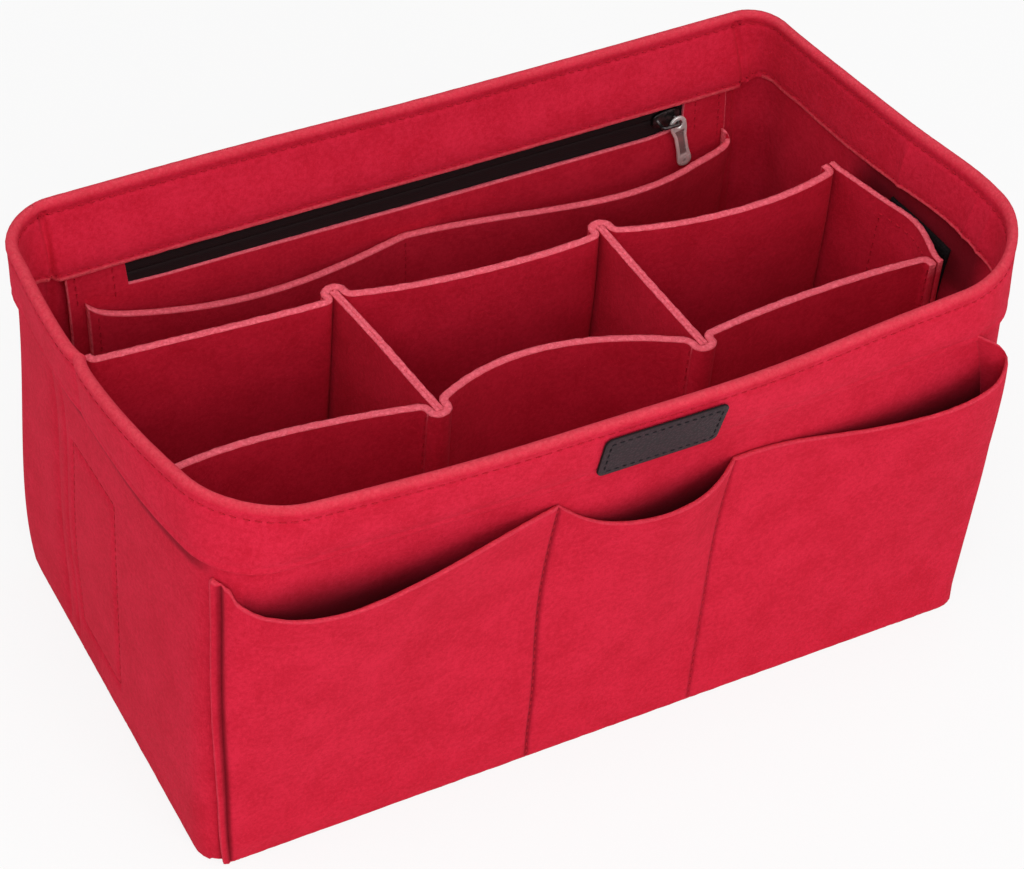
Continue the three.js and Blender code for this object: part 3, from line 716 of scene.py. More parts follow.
@dataclass(frozen=True)
class NickelFinish:
    """Nickel plate with fine handling marks, and painted shade in its recesses."""

    name: str
    colour: Colour
    shade: Colour
    # colour of the painted shade in recesses
    hollow: Colour
    roughness: float
    metal: float

    def build(self) -> Material:
        """Makes the material.

        Returns:
            The material.
        """
        graph = Surface(self.name)
        wear = graph.noise(graph.place(), 380.0, 4.0)
        marks = graph.noise(graph.place((1.0, 1.0, 9.0)), 900.0, 2.0)
        plate = graph.mix(wear.over(0.3, 0.7), self.shade, self.colour)
        # painted shade: the recess share darkens the plate towards the recess colour
        hollow = (graph.attribute(CUT_EDGE_AND_PAINTED_LIGHT) * 1.2 - wear * 0.2).limited()
        graph.set(Base_Color=graph.mix(hollow, plate, self.hollow), Metallic=self.metal)
        graph.set(Roughness=(self.roughness + (wear - 0.5) * 0.18 + (marks - 0.5) * 0.12).limited(0.08, 0.7))
        graph.relief(marks, 0.00002, 0.35)
        return graph.material


@dataclass(frozen=True)
class LeatherFinish:
    """Plain charcoal leather with a fine pebble grain and rubbed edges."""

    name: str = "label_leather_grain"
    colour: Colour = (0.046, 0.02, 0.026)
    shade: Colour = (0.013, 0.007, 0.009)
    cut: Colour = (0.008, 0.005, 0.006)

    def build(self) -> Material:
        """Makes the material.

        Returns:
            The material.
        """
        graph = Surface(self.name)
        where = graph.place()
        pebble = graph.cells(where, 950.0, 0.9)
        cloud = graph.noise(where, 130.0, 4.0)
        grain = 1.0 - pebble.over(0.1, 0.75)
        edge = graph.attribute(CUT_EDGE_AND_PAINTED_LIGHT)
        body = graph.mix((grain * 0.5 + cloud * 0.6).limited(), self.shade, self.colour)
        graph.set(Base_Color=graph.mix(edge, body, self.cut), Roughness=0.5 + cloud * 0.22 + edge * 0.2)
        graph.set(Specular_IOR_Level=0.22)
        graph.relief(grain, 0.00016, 0.6)
        return graph.material


@dataclass(frozen=True)
class HookLoopFinish:
    """Black hook-and-loop tape: a close field of small tufts."""

    name: str = "hook_loop_tufts"
    colour: Colour = (0.012, 0.007, 0.008)
    shade: Colour = (0.003, 0.0015, 0.002)

    def build(self) -> Material:
        """Makes the material.

        Returns:
            The material.
        """
        graph = Surface(self.name)
        where = graph.place()
        tufts = graph.cells(where, 780.0, 0.45)
        height = 1.0 - tufts.over(0.05, 0.7)
        fuzz = graph.noise(where, 1900.0, 3.0)
        graph.set(Base_Color=graph.mix((height * 0.6 + fuzz * 0.5).limited(), self.shade, self.colour))
        graph.set(Roughness=0.75 + fuzz * 0.25, Specular_IOR_Level=0.15)
        graph.relief(height * 0.7 + fuzz * 0.3, 0.0005, 0.8)
        return graph.material


@dataclass(frozen=True)
class Finishes:
    """All the finishes of the organizer, made once."""

    outer: Material
    band: Material
    lining: Material
    divider: Material
    thread: Material
    dark_thread: Material
    tape: Material
    coil: Material
    pull: Material
    slider: Material
    leather: Material
    hook_loop: Material

    @classmethod
    def made(cls) -> "Finishes":
        """Builds every finish.

        Returns:
            The finishes.
        """
        # cut colours: the paler felt of cut edges, made paler still as a painted highlight of the light on
        # the top edges
        edge = (1.0, 0.165, 0.22)
        finishes = {
            "outer": FeltFinish(
                "felt_outer_nap", (0.66, 0.018, 0.05), (0.5, 0.008, 0.026), (0.76, 0.05, 0.088)
            ),
            "band": FeltFinish("felt_band_nap", (0.68, 0.02, 0.054), (0.52, 0.009, 0.028), (0.85, 0.1, 0.13)),
            "lining": FeltFinish("felt_lining_nap", (0.64, 0.016, 0.044), (0.48, 0.007, 0.024), edge),
            "divider": FeltFinish("felt_divider_nap", (0.62, 0.013, 0.04), (0.46, 0.006, 0.021), edge),
            "thread": ThreadFinish("red_thread", (0.55, 0.014, 0.036), (0.41, 0.008, 0.021)),
            "dark_thread": ThreadFinish("charcoal_thread", (0.03, 0.026, 0.03), (0.008, 0.006, 0.008)),
            "tape": TapeFinish(),
            "coil": CoilFinish(),
            "pull": NickelFinish(
                "pull_nickel", (0.95, 0.92, 0.9), (0.8, 0.76, 0.74), (0.3, 0.23, 0.225), 0.24, 0.5
            ),
            "slider": NickelFinish(
                "slider_nickel", (0.12, 0.1, 0.1), (0.03, 0.026, 0.027), (0.02, 0.018, 0.018), 0.3, 0.8
            ),
            "leather": LeatherFinish(),
            "hook_loop": HookLoopFinish(),
        }
        return cls(**{name: finish.build() for name, finish in finishes.items()})


# Shell


@dataclass(frozen=True)
class ShellForm:
    """The organizer's outer form: a felt box whose rim departs from its base by a power of the height."""

    base_length: float = 300.0
    base_depth: float = 160.0
    height: float = 165.0
    base_corner: float = 10.0
    felt: float = 1.8
    floor_felt: float = 2.4
    seam_gap: float = 0.3
    rim_length_inset: float = 2.6
    rim_depth_inset: float = 0.9
    rim_radii: tuple[float, float, float, float] = (24.0, 34.0, 13.0, 18.5)
    seam_set: float = 14.0
    bow_front: float = 9.5
    bow_right: float = 7.0
    bow_left: float = 11.5
    right_skew: float = 10.5
    right_flat: float = 1.6
    back_swing: float = 2.8
    back_swell: float = 1.6
    flat_spot: Pair = (-10.0, 24.0)
    swell_spot: Pair = (-65.0, 75.0)
    left_foot: float = 2.0
    left_belly: float = 3.95
    belly_fall: float = 2.5
    rack: float = 7.8
    flare_power: float = 3.0
    band_felt: float = 1.4
    band_outer_leg: float = 26.0
    band_inner_leg: float = 31.0
    girth_level: float = 80.0
    softness: Softness = Softness()

    @property
    def floor_top(self) -> float:
        """Height that the pieces on the floor stand at."""
        return self.floor_felt + self.seam_gap

    @property
    def band_outer_edge(self) -> float:
        """Height of the band's outer lower edge."""
        return self.height - self.band_outer_leg

    @property
    def band_inner_edge(self) -> float:
        """Height of the band's inner lower edge."""
        return self.height - self.band_inner_leg

    @property
    def band_outer_depth(self) -> float:
        """Depth of the band's outer face."""
        return -self.seam_gap - self.band_felt

    @property
    def band_inner_depth(self) -> float:
        """Depth of the band's inner face."""
        return self.felt + self.seam_gap + self.band_felt

    def flare(self, z: Number) -> Number:
        """Share of the rim's departure reached at a height."""
        return np.clip(np.asarray(z, float) / self.height, 0.0, 1.0) ** self.flare_power

    def half_length(self, z: Number) -> Number:
        """Half the straight-sided outline's length at a height."""
        return self.base_length / 2.0 - self.rim_length_inset * self.flare(z)

    def half_depth(self, z: Number) -> Number:
        """Half the straight-sided outline's depth at a height."""
        return self.base_depth / 2.0 - self.rim_depth_inset * self.flare(z)

    def corner_radius(self, corner: int, z: Number) -> Number:
        """Radius of a corner at a height."""
        return blend(self.base_corner, self.rim_radii[corner], self.flare(z))

    def bowed(self, x: Number, y: Number, z: Number) -> Array:
        """Moves points of the straight-sided outline to the bowed and racked one.

        Each wall bows by a parabola along it, skewed to the front on the right, and the front slides to +X
        in proportion to Y. The left wall also bellies out low down, by the height times a power of what is
        left of it, most of all at the back, and the back's rim swings and swells to the back on the left.

        Args:
            x: X of the straight-sided outline.
            y: Y of the straight-sided outline.
            z: height.

        Returns:
            The moved points.
        """
        share = self.flare(z)
        tx = np.minimum(1.0, np.abs(x) / self.half_length(z))
        ty = np.minimum(1.0, np.abs(y) / self.half_depth(z))
        bow_x = np.where(x < 0.0, self.bow_left, self.bow_right)
        bow_y = np.where(y < 0.0, self.bow_front, 0.0)
        moved_x = x + np.sign(x) * bow_x * share * (1.0 - ty * ty) * tx
        moved_x = moved_x - self.rack * share * y / self.half_depth(z)
        moved_y = y + np.sign(y) * bow_y * share * (1.0 - tx * tx) * ty
        rise = np.clip(np.asarray(z, float) / self.height, 0.0, 1.0)
        back = np.clip(y / self.half_depth(z), -1.0, 1.0)
        peak = self.belly_fall**self.belly_fall / (1.0 + self.belly_fall) ** (1.0 + self.belly_fall)
        belly = self.left_belly * rise * (1.0 - rise) ** self.belly_fall / peak * (0.7 + 0.3 * back)
        belly = belly + self.left_foot * (1.0 - rise)
        skew = self.right_skew * share * (1.0 - ty * ty) * back * tx
        moved_x = moved_x - np.where(x < 0.0, belly * tx**4, skew)
        flat = self.right_flat * share * bump(y, *self.flat_spot) * tx**4
        moved_x = moved_x - np.where(x > 0.0, flat, 0.0)
        swing = self.back_swing * np.where(x < 0.0, tx, 0.0) + self.back_swell * bump(x, *self.swell_spot)
        moved_y = moved_y + swing * share * np.maximum(0.0, back)
        return np.stack(same_shape(moved_x, moved_y, z), axis=-1)

    def half_girth(self, side: Side, z: float = 0.0) -> float:
        """Length from the middle of a side to the middle of its end corner's arc.

        Args:
            side: the side.
            z: height.

        Returns:
            The length.
        """
        radius = float(self.corner_radius(side.corners[1], z))
        half = float(self.half_depth(z) if side.short else self.half_length(z))
        return half - radius + radius * math.pi / 4.0

    def mid_girth(self, side: Side) -> float:
        """Half a side's girth at the height at which places along it are measured."""
        return self.half_girth(side, self.girth_level)

    def end_radius(self, side: Side, u: Array, z: Number) -> Array:
        """Radius of the corner that a place is nearer to."""
        start, end = (self.corner_radius(corner, z) for corner in side.corners)
        return np.where(u < 0.0, start, end)

    def around(self, side: Side, u: Number, z: Number, depth: Number) -> Array:
        """Points on a side by place, height and depth.

        A place runs straight and then round the corner's arc, from -1 to 1 between the corners' middles.

        Args:
            side: the side.
            u: place along it, from -1 to 1.
            z: height.
            depth: distance inwards from the outer face.

        Returns:
            The points.
        """
        u, z, depth = same_shape(u, z, depth)
        radius = self.end_radius(side, u, z)
        half = self.half_depth(z) if side.short else self.half_length(z)
        across = self.half_length(z) if side.short else self.half_depth(z)
        straight = half - radius
        run = np.abs(u) * (straight + radius * np.pi / 4.0)
        turn = np.maximum(0.0, run - straight) / radius
        reach = radius - depth
        forward = np.sign(u) * (np.minimum(run, straight) + reach * np.sin(turn))
        outward = across - radius + reach * np.cos(turn)
        x = side.along[0] * forward + side.out[0] * outward
        y = side.along[1] * forward + side.out[1] * outward
        return self.softness.moved(self.bowed(x, y, z))

    def seam_dip(self, side: Side, u: Array, z: Array) -> Array:
        """Depth, from 0 to 1, of the inner grooves of the upright corner seams.

        The back's seams stand near where its corners' arcs begin, and the front's in the middle of the arcs.

        Args:
            side: the side.
            u: place along it.
            z: height.

        Returns:
            The share of a groove's depth, a bell curve across each seam.
        """
        if side is Side.BACK:
            radius = self.end_radius(side, u, z)
            straight = self.half_length(z) - radius
            apart = np.abs(u) * (straight + radius * np.pi / 4.0) - self.half_length(z) + self.seam_set
        else:
            apart = self.mid_girth(side) * (1.0 - {Side.RIGHT: -u, Side.LEFT: u}.get(side, np.abs(u)))
        return bump(apart, 0.0, 1.5) + 0.0 * z

    def flat(self, side: Side, w: Number, z: Number, depth: Number) -> Array:
        """Points on a side's flat stretch by distance along X or Y, height and depth.

        Args:
            side: the side.
            w: X on the front and back, Y on the ends.
            z: height.
            depth: distance inwards from the outer face.

        Returns:
            The points.
        """
        w, z, depth = same_shape(w, z, depth)
        x = side.out[0] * (self.half_length(z) - depth) if side.short else w
        y = w if side.short else side.out[1] * (self.half_depth(z) - depth)
        return self.softness.moved(self.bowed(x, y, z))


def side_places(side: Side, marks: Sequence[float] = ()) -> Array:
    """Places along a side, from -1 up to but without 1, close together at the seams and round marks.

    Args:
        side: the side.
        marks: places at which a line of stitches presses the felt in.

    Returns:
        The places in order.
    """
    girth = END_GIRTH if side.short else LONG_GIRTH
    even = np.linspace(-1.0, 1.0, int(2.0 * girth / PLACE_STEP))
    near = np.array(NEAR_LINE) / girth
    extra = [mark + near for mark in marks]
    if side is Side.BACK:
        extra += [sign * np.linspace(*BACK_SEAM, 16) for sign in (-1.0, 1.0)]
    seam = np.array([-1.0 + 0.5 / girth, -1.0 + 1.1 / girth, 1.0 - 1.1 / girth, 1.0 - 0.5 / girth])
    places = np.unique(np.round(np.concatenate([even, *extra, seam]), 6))
    return places[places < 1.0 - 0.2 / girth]


@dataclass(frozen=True)
class StitchRow:
    """A row of lock stitches: short threads that dive into the felt at both ends."""

    pitch: float = 3.7
    length: float = 2.9
    radius: float = 0.3
    lift: float = 0.1
    dive: float = 0.38
    slant: float = 0.07
    sides: int = 6
    rings: int = 5

    def along(self, path: Array, outward: Array) -> Skin:
        """Stitches at an even pitch along a path.

        A stitch's middle follows a shallow arch, and its radius shrinks to a point at each end.

        Args:
            path: points along the row, on the felt's face.
            outward: direction away from the felt at each point.

        Returns:
            The stitches as one skin.
        """
        steps = np.linalg.norm(np.diff(path, axis=0), axis=1)
        reached = np.concatenate([[0.0], np.cumsum(steps)])
        count = max(1, int(reached[-1] / self.pitch))
        centres = (np.arange(count) + 0.5) * reached[-1] / count
        shares = np.linspace(-0.5, 0.5, self.rings + 2)
        at = (centres[:, None] + shares[None] * self.length).clip(0.0, reached[-1])
        place = np.stack([np.interp(at, reached, path[:, k]) for k in range(3)], axis=-1)
        up = unit(np.stack([np.interp(at, reached, outward[:, k]) for k in range(3)], axis=-1))
        ahead = unit(np.gradient(place, axis=1))
        across = unit(np.cross(ahead, up))
        arch = self.lift - self.dive * (2.0 * shares) ** 2
        slant = shares * self.length * self.slant
        place = place + up * arch[None, :, None] + across * slant[None, :, None]
        girth = self.radius * np.sqrt(np.clip(1.0 - np.abs(2.0 * shares) ** 3, 0.0, 1.0))
        turn = np.linspace(0.0, 2.0 * np.pi, self.sides, endpoint=False)
        ring = across[:, 1:-1, None] * np.cos(turn)[:, None] + up[:, 1:-1, None] * np.sin(turn)[:, None]
        rings = place[:, 1:-1, None] + ring * girth[None, 1:-1, None, None]
        points = np.concatenate([rings.reshape(count, -1, 3), place[:, [0, -1]]], axis=1)
        index = np.arange(self.rings * self.sides).reshape(self.rings, self.sides)
        quads = grid_faces(np.concatenate([index, index[:, :1]], axis=1))
        tail = self.rings * self.sides
        first = np.stack([np.full(self.sides, tail), np.roll(index[0], -1), index[0]], axis=-1)
        last = np.stack([np.full(self.sides, tail + 1), index[-1], np.roll(index[-1], -1)], axis=-1)
        fans = np.concatenate([first, last])
        offset = np.arange(count)[:, None, None] * points.shape[1]
        quads = (quads[None] + offset).reshape(-1, 4)
        fans = (fans[None] + offset).reshape(-1, 3)
        return Skin(points.reshape(-1, 3), quads, fans).outwards()

    def on(self, face: Callable[[float], Array]) -> Skin:
        """Stitches along the points that a face gives by the distance in front of it."""
        path = face(0.0)
        return self.along(path, unit(face(1.0) - path))


@dataclass(frozen=True)
class Crease:
    """A soft upright fold in an end wall: its place, width and depth, and where it starts and is full."""

    middle: float
    width: float
    depth: float
    faint: float
    full: float


@dataclass(frozen=True)
class Walls:
    """Four felt walls, the base and the stitched outlines of the loop patches on the end walls."""

    form: ShellForm
    finishes: Finishes
    patch_width: float = 33.0
    patch_height: float = 100.0
    patch_drop: float = 10.0
    left_patch_y: float = 14.0
    right_patch_y: float = -18.0
    outline_width: float = 33.0
    outline_span: Pair = (22.0, 112.0)
    left_outline_y: float = 6.0
    press: float = 0.7
    base_lap: float = 0.3
    pocket_shade: float = 0.85
    pocket_shade_span: Pair = (106.0, 127.0)
    front_foot: Pair = (1.1, 9.0)
    other_foot: Pair = (0.5, 3.0)
    left_creases: tuple[Crease, ...] = (
        Crease(-8.0, 3.0, 1.5, 118.0, 165.0),
        Crease(-28.5, 1.3, 0.8, 150.0, 118.0),
        Crease(-37.0, 2.2, 1.3, 158.0, 112.0),
    )
    right_creases: tuple[Crease, ...] = (
        Crease(-4.0, 2.2, 1.7, 120.0, 160.0),
        Crease(-41.0, 1.8, 0.9, 130.0, 150.0),
        Crease(-50.0, 1.8, 0.9, 130.0, 150.0),
        Crease(24.0, 6.0, 0.5, 120.0, 160.0),
    )

    def outline_middle(self, side: Side) -> float:
        """Place of a stitched outline's middle along an end wall, in millimetres forward."""
        return -self.left_outline_y if side is Side.LEFT else self.right_patch_y

    def patch_span(self) -> Pair:
        """Lowest and highest height of a loop patch."""
        top = self.form.band_inner_edge - self.patch_drop
        return top - self.patch_height, top

    def crease(self, side: Side, u: Array, z: Array) -> Array:
        """Depth of the soft creases in an end wall, along which it folds flat.

        Args:
            side: the side.
            u: place along it.
            z: height.

        Returns:
            The added depth, which is 0 on the long walls.
        """
        total = np.zeros(np.broadcast(u, z).shape)
        creases = {Side.LEFT: self.left_creases, Side.RIGHT: self.right_creases}.get(side, ())
        place = u * self.form.mid_girth(side)
        for crease in creases:
            share = ramp(0.0, 1.0, (z - crease.faint) / (crease.full - crease.faint))
            share = share * ramp(0.0, 18.0, z)
            if side is Side.RIGHT:
                share = share * (1.0 - ramp(self.form.height - 14.0, self.form.height - 3.0, z))
            total = total + crease.depth * share * np.exp(-np.abs(place - crease.middle) / crease.width)
        return total

    def stitch_press(self, side: Side, u: Array, z: Array) -> Array:
        """Depth to which the stitched outline presses an end wall in.

        Args:
            side: the side.
            u: place along it.
            z: height.

        Returns:
            The added depth, which is 0 on the long walls.
        """
        if not side.short:
            return np.zeros(np.broadcast(u, z).shape)
        place = u * self.form.mid_girth(side) - self.outline_middle(side)
        low, high = self.outline_span
        half = self.outline_width / 2.0
        inside_z = ramp(low - 2.0, low, z) * (1.0 - ramp(high, high + 2.0, z))
        inside_w = 1.0 - ramp(half, half + 2.0, np.abs(place))
        upright = bump(np.abs(place), half, 1.2) * inside_z
        level = (bump(z, low, 1.2) + bump(z, high, 1.2)) * inside_w
        return self.press * np.maximum(upright, level)

    def marks(self, side: Side) -> list[float]:
        """Places of the outline's upright stitch lines and of the creases on a side.

        Args:
            side: the side.

        Returns:
            The places, of which the long walls have none.
        """
        if not side.short:
            return []
        creases = self.left_creases if side is Side.LEFT else self.right_creases
        lines = [self.outline_middle(side) + sign * self.outline_width / 2.0 for sign in (-1.0, 1.0)]
        girth = self.form.mid_girth(side)
        return [line / girth for line in lines + [crease.middle for crease in creases]]

    def painted_shade_amounts(self, side: Side, u: Array, z: Array) -> tuple[Array, Array]:
        """Painted shade of the places that little light reaches.

        Shade is painted on the outer face behind the front pockets and as a shadow line below the band, and
        on the inner face beside the right loop tape.

        Args:
            side: the side.
            u: place along it.
            z: height.

        Returns:
            The painted shade of the outer face and of the inner one.
        """
        edge = self.form.band_outer_edge
        inner = np.zeros(np.broadcast(u, z).shape)
        if side is Side.FRONT:
            # painted shade behind the front pockets, fading out towards their mouths
            high = z - 9.0 * ramp(-0.4, -0.85, u)
            behind = self.pocket_shade * (1.0 - ramp(*self.pocket_shade_span, high))
            return behind * (1.0 - ramp(0.965, 0.98, np.abs(u))), inner
        # painted shadow in a line just below the band's outer edge, strongest on the left wall
        below = ramp(edge - 6.5, edge - 3.5, z) * (1.0 - ramp(edge, edge + 2.0, z))
        if side is Side.RIGHT:
            # painted shade on the inner face in the gap beside the right loop tape
            inner = 0.8 * ramp(112.0, 124.0, z)
            inner = inner * ramp(0.35, 0.1, u) * ramp(-0.8, -0.6, u)
        strength = 0.55 * ramp(0.97, 0.8, u) if side is Side.LEFT else 0.3 + 0.0 * u
        return strength * below, inner

    def ring(self) -> Skin:
        """The walls as one closed ring of felt, with a pressed-in line at each inner corner seam.

        Returns:
            The closed skin.
        """
        lines = [line + k for line in self.outline_span for k in (-1.2, 0.0, 1.2)]
        lines += [self.form.band_outer_edge + k for k in (-7.0, -6.0, -5.0, -4.0, -3.0, 0.5, 2.5)]
        top = self.form.height - 2.0
        even = stops((0.0, 0), (1.2, 2), (top - 1.5, 48), (top, 2))
        levels = np.unique(np.concatenate([even, lines]))
        fronts, backs, shades = [], [], []
        for side in Side:
            u = side_places(side, self.marks(side))[:, None]
            z = levels[None]
            # painted shade of both faces, kept as a share below 0 beside the cut edge share
            shades.append(self.painted_shade_amounts(side, u, z))
            dip = self.crease(side, u, z)
            tuck, reach = self.front_foot if side is Side.FRONT else self.other_foot
            foot = tuck * (1.0 - ramp(0.0, reach, z))
            seam = 1.3 * self.form.seam_dip(side, u, z) * ramp(self.form.floor_felt, 8.0, z)
            fronts.append(self.form.around(side, u, z, dip + self.stitch_press(side, u, z) + foot))
            backs.append(self.form.around(side, u, z, self.form.felt + dip - seam))
        skin = closed_sheet(np.concatenate(fronts), np.concatenate(backs), 0.25, wrap=True)
        return skin.with_painted_shade(*(np.concatenate(shade) for shade in zip(*shades)))

    def base(self) -> Skin:
        """The base: the mixes between facing walls' feet, both ways, less the mix of the corners.

        Returns:
            The closed skin.
        """
        form = self.form
        u = np.sin(np.linspace(-np.pi / 2.0, np.pi / 2.0, 49))
        front, right, back, left = (form.around(side, u, 0.0, form.felt - self.base_lap) for side in Side)
        back, left = back[::-1], left[::-1]
        over, across = (u[:, None, None] + 1.0) / 2.0, (u[None, :, None] + 1.0) / 2.0
        ruled = blend(front[:, None], back[:, None], across)
        ruled = ruled + blend(left[None], right[None], over)
        near, far = (blend(side[0], side[-1], over) for side in (front, back))
        flat = ruled - blend(near, far, across)
        top = flat + np.array([0.0, 0.0, form.floor_felt])
        skin = closed_sheet(flat, top, 0.0)
        skin.cut_and_painted_light = np.zeros(len(skin.points))
        return skin

    def outline_stitches(self) -> Skin:
        """Stitches round the loop patches, on the outer faces of the end walls.

        Returns:
            The stitches as one skin.
        """
        row = StitchRow()
        (low, high), half = self.outline_span, self.outline_width / 2.0
        rows = []
        for side in (Side.LEFT, Side.RIGHT):
            girth, middle = self.form.mid_girth(side), self.outline_middle(side)
            corners = np.array([[-half, low], [half, low], [half, high], [-half, high], [-half, low]])
            for (w0, z0), (w1, z1) in zip(corners[:-1], corners[1:]):
                share = np.linspace(0.0, 1.0, 60)
                u = (middle + blend(w0, w1, share)) / girth
                z = blend(z0, z1, share)
                depth = self.crease(side, u, z) + self.press
                rows.append(row.on(lambda lift: self.form.around(side, u, z, depth - lift)))
        return all_joined(rows)

    def build(self) -> None:
        """Makes the walls, the base and their stitches."""
        panels = ["front_panel", "right_panel", "back_panel", "left_panel"]
        ring = edge_wobble(self.ring(), 0.08, 3)
        piece("felt_walls", ring, Body.SHELL, self.finishes.outer, panels)
        piece("felt_base", self.base(), Body.SHELL, self.finishes.outer, ["bottom_panel"])
        piece("patch_outline_stitches", self.outline_stitches(), Body.SHELL, self.finishes.thread)


@dataclass(frozen=True)
class RimBand:
    """The felt strip folded over the rim, with a stitched bead along its top and a stitched lower edge."""

    form: ShellForm
    finishes: Finishes
    walls: Walls
    bead_drop: float = 5.0
    bead_press: float = 0.45
    pinch: float = 0.2
    front_thinning: float = 0.8
    edge_rise: float = 2.6
    edge_press: float = 0.3
    lining_face: float = 6.5
    right_rise: float = 8.2

    def inner_lean(self, side: Side, u: Array, z: Array) -> Array:
        """Added depth of the inner leg on the back wall, where it bends out over the lining.

        Args:
            side: the side.
            u: place along it.
            z: height.

        Returns:
            The added depth.
        """
        if side is not Side.BACK:
            return np.zeros(np.broadcast(u, z).shape)
        form = self.form
        spring = form.height - self.fold_radius()
        full = self.lining_face - form.felt - form.seam_gap
        fade = 1.0 - ramp(0.9, 1.0, np.abs(u))
        return full * ramp(spring, form.band_inner_edge + 3.0, z) * fade

    def lifted(self, side: Side, u: Array, z: Array, leg: Array) -> Array:
        """Heights after the inner leg is drawn up towards the front right corner.

        Args:
            side: the side.
            u: place along it.
            z: height on the plain profile.
            leg: -1 on the outer leg and 1 on the inner one.

        Returns:
            The heights.
        """
        rise = np.zeros(np.shape(u))
        if side is Side.RIGHT:
            rise = self.right_rise * ramp(0.75, -0.55, u)
        if side is Side.FRONT:
            rise = self.right_rise * ramp(0.0, 1.0, u)
        still = self.form.height - self.bead_drop - 2.0
        share = np.clip((still - z) / (still - self.form.band_inner_edge), 0.0, None)
        return z + np.where(leg > 0.5, rise * share, 0.0)

    def fold_radius(self) -> float:
        """Outer radius of the fold."""
        return (self.form.band_inner_depth - self.form.band_outer_depth) / 2.0

    def profile(self) -> tuple[Array, Array, Array, Array]:
        """Closed profile of the band.

        Returns:
            Height, depth, leg (-1 outer, 1 inner, 0 on the fold) and share of cut edge and painted highlight
            of each point.
        """
        form = self.form
        radius = self.fold_radius()
        centre = (form.band_inner_depth + form.band_outer_depth) / 2.0
        spring = form.height - radius
        bead = form.height - self.bead_drop
        rises = [k + self.edge_rise for k in (-1.4, -0.6, 0.0, 0.6, 1.4)]
        beads = [bead + k for k in (-1.8, -1.2, -0.6, 0.0, 0.6, 1.2, 1.8)]
        legs = []
        for edge, count in ((form.band_outer_edge, 6), (form.band_inner_edge, 7)):
            low = [edge + rise for rise in [0.4, *rises]]
            level = np.unique(np.concatenate([low, np.linspace(edge + 5.5, bead - 3.0, count), beads]))
            legs.append(level[level < spring - 0.2])
        leg_o, leg_i = legs
        turn = np.linspace(np.pi, 0.0, 15)
        fold_z, fold_d = spring + radius * np.sin(turn), centre + radius * np.cos(turn)
        half = form.band_felt / 2.0
        edge = np.linspace(0.0, np.pi, 6)[1:-1]
        rise, across = half * 0.6 * (1.0 - np.sin(edge)), half * np.cos(edge)
        edge_i = (form.band_inner_edge + rise, form.band_inner_depth - half + across)
        edge_o = (form.band_outer_edge + rise, form.band_outer_depth + half + across)
        hollow = np.array([[form.band_inner_edge + 2.0, form.band_inner_depth - form.band_felt],
                           [spring, form.band_inner_depth - form.band_felt],
                           [spring + radius - form.band_felt, centre],
                           [spring, form.band_outer_depth + form.band_felt],
                           [form.band_outer_edge + 2.0, form.band_outer_depth + form.band_felt]])
        z = np.concatenate([leg_o, fold_z, leg_i[::-1], edge_i[0], hollow[:, 0], edge_o[0]])
        depth_o = np.full(len(leg_o), form.band_outer_depth)
        depth_i = np.full(len(leg_i), form.band_inner_depth)
        depth = np.concatenate([depth_o, fold_d, depth_i, edge_i[1], hollow[:, 1], edge_o[1]])
        leg = np.concatenate([np.full(len(leg_o), -1.0), np.zeros(len(fold_z)), np.ones(len(leg_i)),
                              np.ones(4), [1.0, 1.0, 0.0, -1.0, -1.0], -np.ones(4)])
        cut_and_painted_light = np.zeros(len(z))
        # painted highlight: paleness on the top of the fold, where the light falls
        cut_and_painted_light[len(leg_o):len(leg_o) + len(fold_z)] = 0.5 * np.sin(turn)
        cut_and_painted_light[len(leg_o) + len(fold_z) + len(leg_i):][:4] = 1.0
        cut_and_painted_light[-4:] = 0.08
        # painted highlight: a pale line along the inner leg's lower edge
        cut_and_painted_light = np.where((leg > 0.0) & (z < form.band_inner_edge + 1.5), np.maximum(cut_and_painted_light, 0.7), cut_and_painted_light)
        return z, depth, leg, cut_and_painted_light

    def pinched(
        self, side: Side, u: Array, z: Array, depth: Array, leg: Array
    ) -> Array:
        """Depth after the fold is drawn tight at the top and the front's outer edge is thinned out.

        Args:
            side: the side.
            u: place along it.
            z: height.
            depth: depth of the plain profile.
            leg: -1 on the outer leg and 1 on the inner one.

        Returns:
            The depth.
        """
        form = self.form
        middle = (form.band_inner_depth + form.band_outer_depth) / 2.0
        tight = 1.0 - self.pinch * ramp(form.height - 25.0, form.height - 5.0, z)
        depth = middle + (depth - middle) * tight
        if side is Side.FRONT:
            low = 1.0 - ramp(form.band_outer_edge, form.band_outer_edge + 9.0, z)
            thin = self.front_thinning * low * (1.0 - ramp(0.9, 0.99, np.abs(u)))
            thinned = -form.seam_gap + (depth + form.seam_gap) * (1.0 - thin)
            depth = np.where((leg < 0.0) & (depth < -form.seam_gap), thinned, depth)
        return depth

    def press(self, z: Array, leg: Array) -> Array:
        """How far the two rows of stitches press the band's legs towards the wall.

        Args:
            z: height.
            leg: -1 on the outer leg and 1 on the inner one.

        Returns:
            The distance.
        """
        edge = np.where(leg > 0.0, self.form.band_inner_edge, self.form.band_outer_edge) + self.edge_rise
        bead = self.bead_press * bump(z, self.form.height - self.bead_drop, 1.15)
        return np.where(leg == 0.0, 0.0, bead + self.edge_press * bump(z, edge, 1.0))

